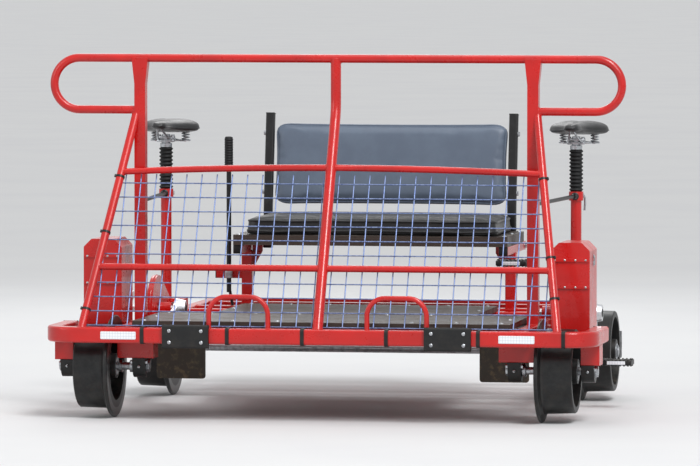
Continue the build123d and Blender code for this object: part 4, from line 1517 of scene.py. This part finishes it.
@dataclass
class Brake(Part):
    """The lever's ribbed grip and pivot sleeve, bolts, and curved linings on the shoes."""

    lever: tuple[float, float] = (-510, 1187)
    pivot: float = 382
    grip_low: float = 735
    grip_length: float = 110
    sleeve: tuple = ((12, -14), (14, -12), (14, 12), (12, 14))
    beam_bolts: tuple = ((649, 1343, 216), (649, 1387, 216))
    axle: tuple[float, float] = (1170, 137)
    lining: tuple = ((720, 141.5), (802, 141.5), (802, 146), (720, 146))
    lining_start: float = -13
    lining_sweep: float = 34

    def build(self) -> None:
        """Fits the grip, sleeve, bolts and linings."""
        x, depth = self.lever
        ribs = [(14.2 - 0.8 * math.cos(2 * math.pi * k / 7), 3 + (self.grip_length - 8) * k / 84)
                for k in range(85)]
        grip = [(9, -6), (15, -4), (16, 0), *ribs, (13, 109), (8, 111.5), (0, 112)]
        self.shop.turnings("brake_lever_grip", Slot.RUBBER, grip, [(at(x, depth, self.grip_low), Z)], 28)
        self.shop.turnings("brake_pivot_sleeve", Slot.STEEL, self.sleeve, [(at(x, depth, self.pivot), Z)], 24)
        bolts = [(at(x, depth - 13, self.pivot), -Y), *both(*self.beam_bolts, way=X)]
        self.shop.bolts("brake_bolts", bolts, 8)
        linings = bmesh.new()
        for side in SIDES:
            rows = []
            for k in range(15):
                angle = math.radians(self.lining_start + self.lining_sweep * k / 14)
                rows.append([linings.verts.new(at(side * x, self.axle[0] + radius * math.cos(angle),
                                                  self.axle[1] + radius * math.sin(angle)))
                             for x, radius in self.lining])
            loft(linings, rows)
        self.shop.piece("brake_linings", linings, Slot.RUBBER, sharp=30)


@dataclass
class Tail(Part):
    """A worn bush in the towing plate, and two red rear reflectors."""

    bush: tuple = ((12.5, -7.5), (18, -7.5), (19, -6.5), (19, 6.5), (18, 7.5), (12.5, 7.5))
    pin: tuple[float, float, float] = (0, 1705, 249)
    plates: tuple = (((480, 560), (1669, 1673), (234, 264), 1.5),)

    def build(self) -> None:
        """Fits the bush and the reflectors."""
        self.shop.turnings("tow_pin_bush", Slot.STEEL, self.bush, [(at(*self.pin), Z)], 36, True)
        plates = blocks(bmesh.new(), self.plates)
        self.shop.piece("rear_reflectors", plates, Slot.TAPE, material=self.shop.red_tape)


@dataclass
class Pad(Part):
    """A padded piece: a closed form, remeshed, filled by a cloth simulation, then piped and stitched."""

    name: str
    slot: Slot
    voxel: float = 6
    cap: float = 9
    fill: float = 0.8
    pressure: float = 4

    def make(self, mesh: BMesh, floor: float, rest_height: float | None = None) -> Piece:
        """Makes the pad from its start form.

        Args:
            mesh: the closed start form, a little smaller than the pad; freed here.
            floor: points below this height are held.
            rest_height: no point goes below this height, where it is given.

        Returns:
            The finished pad.
        """
        carrier = placed(meshed(mesh, self.name), self.name + "_form")
        remesh = carrier.modifiers.new("remesh", "REMESH")
        remesh.mode, remesh.voxel_size, remesh.use_smooth_shade = "VOXEL", mm(self.voxel), True
        carrier.modifiers.new("even", "SMOOTH").iterations = 4
        bpy.context.view_layer.update()
        graph = bpy.context.evaluated_depsgraph_get()
        data = bpy.data.meshes.new_from_object(carrier.evaluated_get(graph))
        carrier.modifiers.clear()
        carrier.data = data
        self._swell(carrier, floor)
        bpy.data.objects.remove(carrier)
        if rest_height is not None:
            for vertex in data.vertices:
                vertex.co.z = max(vertex.co.z, rest_height)
        pad = self.shop.piece(self.name, data, self.slot, sharp=180)
        subdivision = pad.modifiers.new("subdivision", "SUBSURF")
        subdivision.levels = subdivision.render_levels = 1
        self.surface = BVHTree.FromPolygons([v.co for v in data.vertices],
                                            [p.vertices for p in data.polygons])
        return pad

    def _swell(self, carrier: Piece, floor: float) -> None:
        """Fills a closed shell by inner pressure, evens its points' moves, and caps them.

        Args:
            carrier: the object whose mesh is the shell and takes the new shape.
            floor: points below this height are held.
        """
        data = carrier.data
        rest = [vertex.co.copy() for vertex in data.vertices]
        held = carrier.vertex_groups.new(name="held")
        held.add([i for i, place in enumerate(rest) if place.z < floor], 1.0, "REPLACE")
        cloth = carrier.modifiers.new("cloth", "CLOTH").settings
        cloth.use_pressure, cloth.uniform_pressure_force = True, self.pressure
        cloth.quality, cloth.mass, cloth.bending_stiffness = 5, 0.3, 0.5
        cloth.tension_stiffness = cloth.compression_stiffness = 15
        cloth.effector_weights.gravity = 0
        cloth.vertex_group_mass = "held"
        for step in range(1, 21):
            bpy.context.scene.frame_set(step)
        moved = carrier.evaluated_get(bpy.context.evaluated_depsgraph_get()).data
        shifts = numpy.array([vertex.co - place for vertex, place in zip(moved.vertices, rest)])
        ends = numpy.array([edge.vertices[:] for edge in data.edges])
        neighbours = numpy.bincount(ends.ravel(), minlength=len(rest)).astype(float)[:, None]
        for _ in range(6):
            total = shifts * neighbours
            numpy.add.at(total, ends[:, 0], shifts[ends[:, 1]])
            numpy.add.at(total, ends[:, 1], shifts[ends[:, 0]])
            shifts = total / (2 * neighbours)
        far = numpy.linalg.norm(shifts, axis=1)
        shifts *= (numpy.minimum(far, mm(self.cap)) / numpy.maximum(far, 1e-9))[:, None]
        for vertex, place, shift in zip(data.vertices, rest, shifts):
            vertex.co = place + Vector(shift)
        carrier.modifiers.clear()
        bpy.context.scene.frame_set(1)

    def laid(self, outline: Line, lift: float) -> Line:
        """Lays a closed outline on the pad's surface and smooths it.

        Args:
            outline: points near the surface.
            lift: the height over it in millimetres.

        Returns:
            The closed line on the pad.
        """
        path = []
        for point in outline:
            near, normal, _, _ = self.surface.find_nearest(point)
            path.append(near + mm(lift) * normal)
        for _ in range(2):
            path = [(before + 2 * point + after) / 4
                    for before, point, after in zip(path[-1:] + path, path, path[1:] + path[:1])]
        return path

    def pipe(self, name: str, outline: Line, radius: float = 4) -> None:
        """Sews a piping cord along an outline.

        Args:
            name: the cord's name.
            outline: its closed line.
            radius: of the cord in millimetres.
        """
        mesh = bmesh.new()
        tube(mesh, self.laid(outline, 0.2 * radius), radius, 10, closed=True)
        self.shop.piece(name, mesh, self.slot)

    def stitch(self, name: str, outline: Line) -> None:
        """Runs a row of stitches along an outline, in thread that is thicker than life, so that it shows.

        Args:
            name: the row's name.
            outline: its closed line.
        """
        recipe = Recipe("stitches")
        pitch, thread = recipe.number("Pitch", mm(8)), recipe.number("Thread Radius", mm(0.8))
        line = recipe.add("GeometryNodeMeshToCurve", {"Mesh": recipe.source.outputs[0]})
        points = recipe.add("GeometryNodeCurveToPoints", {"Curve": line, "Length": pitch}, mode="LENGTH")
        ball = recipe.add("GeometryNodeMeshUVSphere", {"Segments": 6, "Rings": 4, "Radius": thread})
        long = recipe.add("GeometryNodeTransform", {"Geometry": ball, "Scale": (1, 1, 3.4)})
        recipe.on_points(long, self.shop.materials[self.slot], points, points.node.outputs["Tangent"])
        path = self.laid(outline, 0.3)
        edges = [(k, (k + 1) % len(path)) for k in range(len(path))]
        self.shop.piece(name, recipe.bake(skeleton(name + "_line", path, edges)), self.slot, sharp=60)


def cushion(half: Vector, corner: float, crown: float, tuck: float) -> BMesh:
    """A crowned closed form about the origin, whose sides pull in between its corners.

    Args:
        half: half its width, depth and thickness in metres.
        corner: the radius of its corners seen from above, in metres, as the rest.
        crown: how much the middle of its top stands over the edge.
        tuck: how much the sides pull in at their middles.

    Returns:
        The form, as an even grid of faces.
    """
    mesh = bmesh.new()
    bmesh.ops.create_cube(mesh, size=2.0)
    bmesh.ops.subdivide_edges(mesh, edges=mesh.edges, cuts=24, use_grid_fill=True)
    for vertex in mesh.verts:
        u, v, w = vertex.co
        x, y = half.x * u, half.y * v
        over = Vector((abs(x) - (half.x - corner), abs(y) - (half.y - corner)))
        if over.x > 0 and over.y > 0 and over.length > 1e-9:
            over = over.normalized() * max(over)
            x = math.copysign(half.x - corner + over.x, x)
            y = math.copysign(half.y - corner + over.y, y)
        x *= 1 - tuck / half.x * (1 - v * v) * u * u
        y *= 1 - tuck / half.y * (1 - u * u) * v * v
        vertex.co = (x, y, half.z * w + (crown * (1 - u ** 4) * (1 - v ** 4) * w if w > 0 else 0))
    bmesh.ops.recalc_face_normals(mesh, faces=mesh.faces)
    return mesh


@dataclass
class Bench(Part):
    """The bench's black seat cushion and its grey padded back, with piped and stitched edges."""

    lean: float = 9
    back_thick: float = 45
    crown: float = 5
    seat_corners: tuple[float, float] = (38, 28)
    seat_inset: tuple[float, float, float] = (13, 13, -5)
    seat_tuck: float = 4
    back_corners: tuple[float, float] = (30, 22)
    back_inset: tuple[float, float, float] = (14, 14, -6)
    back_tuck: float = 3

    def build(self) -> None:
        """Makes both pads."""
        self._seat()
        self._back()

    def _sew(self, pad: Pad, turn: Matrix, inner: Vector, corners: tuple[float, float], inset: Vector,
             levels: Sequence) -> None:
        """Pipes a pad round its two edges and stitches its face.

        Args:
            pad: the finished pad.
            turn: carries the cushion's own frame to its place.
            inner: half the start form's size in metres.
            corners: the radii in millimetres of the pad's corners and of the stitches'.
            inset: how far the stitches lie in from the edge, and below the face, in metres.
            levels: each cord's name and its height in the cushion's frame in metres.
        """
        points = spread(rounded(inner.x, inner.y, mm(corners[0])), mm(14))
        for name, level in levels:
            pad.pipe(name, [turn @ Vector((x, y, level)) for x, y in points])
        sewn = inner - inset
        points = spread(rounded(sewn.x, sewn.y, mm(corners[1])), mm(12))
        name = pad.name.split("_")[1] + "_stitches"
        pad.stitch(name, [turn @ Vector((x, y, sewn.z)) for x, y in points])

    def _seat(self) -> None:
        """The seat: flat below, crowned above, piped round its top and its foot."""
        low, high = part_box("bench_seat")
        inner = (high - low) / 2 - mm(5, 5, 5)
        turn = Matrix.Translation((low + high) / 2)
        mesh = cushion(inner, mm(self.seat_corners[0]), mm(self.crown), mm(self.seat_tuck))
        bmesh.ops.translate(mesh, vec=(low + high) / 2 - mm(0, 0, 3), verts=mesh.verts)
        pad = Pad(self.shop, "bench_seat_cushion", Slot.SEAT)
        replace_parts(pad.make(mesh, low.z + mm(5), low.z + mm(0.5)), "bench_seat")
        self._sew(pad, turn, inner, self.seat_corners, mm(*self.seat_inset),
                  (("seat_piping_upper", inner.z - mm(7)), ("seat_piping_lower", mm(10) - inner.z)))

    def _back(self) -> None:
        """The back: leaning between its posts, crowned to the front, piped at the front and behind."""
        low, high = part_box("bench_back")
        lean = math.radians(self.lean)
        thick = mm(self.back_thick)
        tall = (high.z - low.z - thick * math.sin(lean)) / math.cos(lean)
        inner = Vector(((high.x - low.x) / 2, tall / 2, thick / 2)) - mm(3, 4, 6)
        turn = Matrix.Translation((low + high) / 2) @ Matrix.Rotation(math.pi / 2 - lean, 4, "X")
        mesh = cushion(inner, mm(self.back_corners[0]), mm(self.crown), mm(self.back_tuck))
        bmesh.ops.transform(mesh, matrix=turn, verts=mesh.verts)
        pad = Pad(self.shop, "bench_back_pad", Slot.BACK)
        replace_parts(pad.make(mesh, 0), "bench_back")
        self._sew(pad, turn, inner, self.back_corners, mm(*self.back_inset),
                  (("back_piping_front", inner.z - mm(6)), ("back_piping_rear", mm(6) - inner.z)))


@dataclass
class Saddles(Part):
    """Two padded saddles on steel under-frames with coil springs, each over a ribbed gaiter."""

    across: float = 694
    depth: float = 1030
    nose: float = 143
    tail: float = 120
    rings: int = 56
    steps: int = 40
    channel: tuple[float, float] = (3.5, 11)
    half_widths: tuple = ((0, 3), (0.015, 13), (0.05, 21), (0.12, 25.5), (0.3, 29), (0.42, 38), (0.54, 58),
                          (0.68, 84), (0.8, 98), (0.9, 94), (0.96, 76), (0.99, 46), (1, 8))
    tops: tuple = ((0, 893), (0.05, 903), (0.2, 904), (0.5, 901), (0.75, 906), (0.9, 908), (0.97, 902),
                   (1, 892))
    bottoms: tuple = ((0, 887), (0.08, 878), (0.3, 876), (0.5, 870), (0.7, 864), (0.9, 864), (1, 876))
    gaiter_foot: float = 676
    gaiter_height: float = 140
    clamp_foot: float = 816
    clamp_jaws: tuple[float, float] = (832, 843)
    clamp_bolt: tuple[float, float] = (23, 852.5)
    clamp: tuple = ((13, 0), (20, 0), (20, 12), (14, 14), (14, 42), (11, 43))
    spring: tuple[float, float] = (52, 76)
    spring_foot: float = 838
    plate: tuple = ((0, -2.5), (15.5, -2.5), (16.5, -1.5), (16.5, 1.5), (15.5, 2.5), (0, 2.5))
    rail: tuple = ((5, -118, 884), (9, -100, 871), (17, -60, 852), (22, -20, 842.5), (22, 20, 842.5),
                   (30, 48, 838), (52, 74, 835))
    bar: tuple = ((-52, 76), (-25, 90), (25, 90), (52, 76))

    def build(self) -> None:
        """Makes the saddles, their pillars, under-frames and springs."""
        for side, name in zip(SIDES, ("left", "right")):
            pad = self._pad(f"saddle_{name}", side)
            if name == "left":
                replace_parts(pad, "saddles")
        self._pillars()
        self._under_frames()
        self._springs()

    def place(self, side: int, x: float, y: float, height: float) -> Vector:
        """A point from millimetres beside and behind a saddle post."""
        return at(side * self.across + x, self.depth + y, height)

    def station(self, share: float) -> list[float]:
        """The section at a share of the length: its place, half width, top and bottom."""
        lines = (self.half_widths, self.tops, self.bottoms)
        return [-self.nose + (self.nose + self.tail) * share, *(smooth(line, share) for line in lines)]

    def _pad(self, name: str, side: int) -> Piece:
        """Makes a saddle: long nose, broad tail, domed top with a shallow channel, and a piped skirt.

        Args:
            name: the pad's name.
            side: 1 for the left one, -1 for the right one.

        Returns:
            The pad.
        """
        mesh = bmesh.new()
        rings = []
        deep, wide = self.channel
        for i in range(self.rings + 1):
            y, half, top, bottom = self.station(i / self.rings)
            middle, belt = self.place(side, 0, y, 0), bottom + 0.4 * (top - bottom)
            ring = []
            for c, s in around(self.steps):
                x = half * math.copysign(abs(c) ** 0.7, c)
                if s >= 0:
                    z = belt + (top - belt) * s ** 0.85 - deep * math.exp(-(x / wide) ** 2) * s
                else:
                    z = belt - (belt - bottom) * (-s) ** 0.5
                ring.append(mesh.verts.new(middle + mm(x, 0, z)))
            rings.append(ring)
        loft(mesh, rings)
        pad = Pad(self.shop, name, Slot.SEAT, 4, 4, 0.85)
        made = pad.make(mesh, RAIL_HEAD + mm(879))
        belt = []
        for hand, shares in ((1, range(1, 48)), (-1, range(47, 0, -1))):
            for y, half, top, bottom in (self.station(k / 48) for k in shares):
                height = bottom + 0.3 * (top - bottom)
                belt.append(self.place(side, 0, y, 0) + mm(hand * (half + 4), 0, height))
        pad.pipe(f"saddle_piping_{name}", belt, 2.2)
        return made

    def _pillars(self) -> None:
        """Ribbed rubber gaiters with a steel clamp above, in place of the plain pillars."""
        ribs = [(21 - 2.5 * math.cos(2 * math.pi * i / 8), self.gaiter_height * i / 88) for i in range(89)]
        gaiters = self.shop.turnings("pillar_gaiters", Slot.RUBBER,
                                     [(16, 0), *ribs, (16, self.gaiter_height)],
                                     [(self.place(side, 0, 0, self.gaiter_foot), Z) for side in SIDES], 28)
        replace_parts(gaiters, "saddle_pillars")
        clamps = bmesh.new()
        for side in SIDES:
            turned(clamps, self.clamp, self.place(side, 0, 0, self.clamp_foot), Z, 28)
            for low in self.clamp_jaws:
                block(clamps, self.place(side, -29, -15, low), self.place(side, 29, 15, low + 9.5), 2.5)
        self.shop.piece("saddle_clamps", clamps, Slot.STEEL)
        across, height = self.clamp_bolt
        self.shop.bolts("saddle_clamp_bolts", [(self.place(side, hand * across, 0, height), Z)
                                               for side in SIDES for hand in reversed(SIDES)], 6)

    def _under_frames(self) -> None:
        """Two bent steel rails from nose to tail through each clamp, spring plates and a bar behind."""
        rails = bmesh.new()
        across, behind = self.spring
        for side in SIDES:
            for hand in SIDES:
                tube(rails, through([self.place(side, hand * x, y, z) for x, y, z in self.rail]), 3.5, 10)
                turned(rails, self.plate, self.place(side, hand * across, behind, self.spring_foot - 2), Z,
                       24)
            end = self.rail[-1][2]
            tube(rails, through([self.place(side, x, y, end) for x, y in self.bar]), 3.5, 10)
        self.shop.piece("saddle_rails", rails, Slot.STEEL)

    def _springs(self) -> None:
        """The coil springs under the broad end of each saddle."""
        recipe = Recipe("coil_springs")
        coil, wire, height, turns = (recipe.number(*pair) for pair in (
            ("Coil Radius", mm(12.5)), ("Wire Radius", mm(2.2)), ("Height", mm(30)), ("Turns", 3.5)))
        helix = recipe.add("GeometryNodeCurveSpiral", {
            "Resolution": 28, "Rotations": turns, "Start Radius": coil, "End Radius": coil, "Height": height})
        ring = recipe.add("GeometryNodeCurvePrimitiveCircle", {"Resolution": 8, "Radius": wire})
        spring = recipe.add("GeometryNodeCurveToMesh",
                            {"Curve": helix, "Profile Curve": ring, "Fill Caps": True})
        recipe.on_points(spring, self.shop.materials[Slot.STEEL])
        across, behind = self.spring
        feet = [self.place(side, hand * across, behind, self.spring_foot)
                for side in SIDES for hand in reversed(SIDES)]
        self.shop.piece("saddle_springs", recipe.bake(skeleton("spring_feet", feet, way=[Z] * 4)), Slot.STEEL)


@dataclass
class Chassis(Part):
    """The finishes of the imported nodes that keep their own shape."""

    by_slot = {
        Slot.ENAMEL: ("side_rails", "cross_members", "rear_beam", "front_bumper", "lift_hoops", "handrail",
                      "front_posts", "guard_side_tubes", "centre_upright", "guard_rails", "side_boxes",
                      "front_brackets", "rear_brackets", "chain_cases", "crank_bearings", "saddle_posts",
                      "bench_frames", "tow_plate"),
        Slot.RUBBER: ("bumper_straps", "bumper_pads"),
        Slot.FLAP: ("pedal_flaps",),
        Slot.TAPE: ("reflector_strips",),
        Slot.BOARD: ("floor_plate", "bench_pan"),
        Slot.PLASTIC: ("axle_bearings", "tie_rods", "bench_back_posts", "brake_lever", "pedal_outer_left",
                       "pedal_inner_left", "pedal_outer_right", "pedal_inner_right"),
        Slot.STEEL: ("front_axles", "rear_axle"),
        Slot.ALUMINIUM: ("crank_left", "crank_right"),
    }

    def dress(self) -> None:
        """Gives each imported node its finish, the wheels about their own axles."""
        finishes = {node: self.shop.materials[slot] for slot, nodes in self.by_slot.items() for node in nodes}
        # painted shade: the brake beam is darkened to stand for the shadow line under the bumper
        finishes["brake_beam"] = SHADE_DARKENED_STEEL.build()
        for node in ("front_wheel_left", "front_wheel_right", "rear_wheels"):
            centre = sum(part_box(node), Vector()) / 2
            finishes[node] = TurnedNylon(f"turned_cast_nylon_{node}", "#0B0C0E", "#202122", centre).build()
        for node, material in finishes.items():
            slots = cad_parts[node].data.materials
            slots.clear()
            slots.append(material)


def main() -> None:
    """Builds the sub-assemblies in order and reports each."""
    Studio().build()
    shop = Shop()
    Chassis(shop).dress()
    guard, welded = Guard(shop), Frame(shop)
    for step in (guard.build, welded.weld, guard.weld, welded.cap_ends, guard.tie):
        step()
    for kind in (RunningGear, Drive, SideBoxes, Deck, SaddlePosts, BenchBolts, Brake, Tail, Bench, Saddles):
        kind(shop).build()
        log.info("built %s", kind.__name__)


if __name__ == "__main__":
    main()
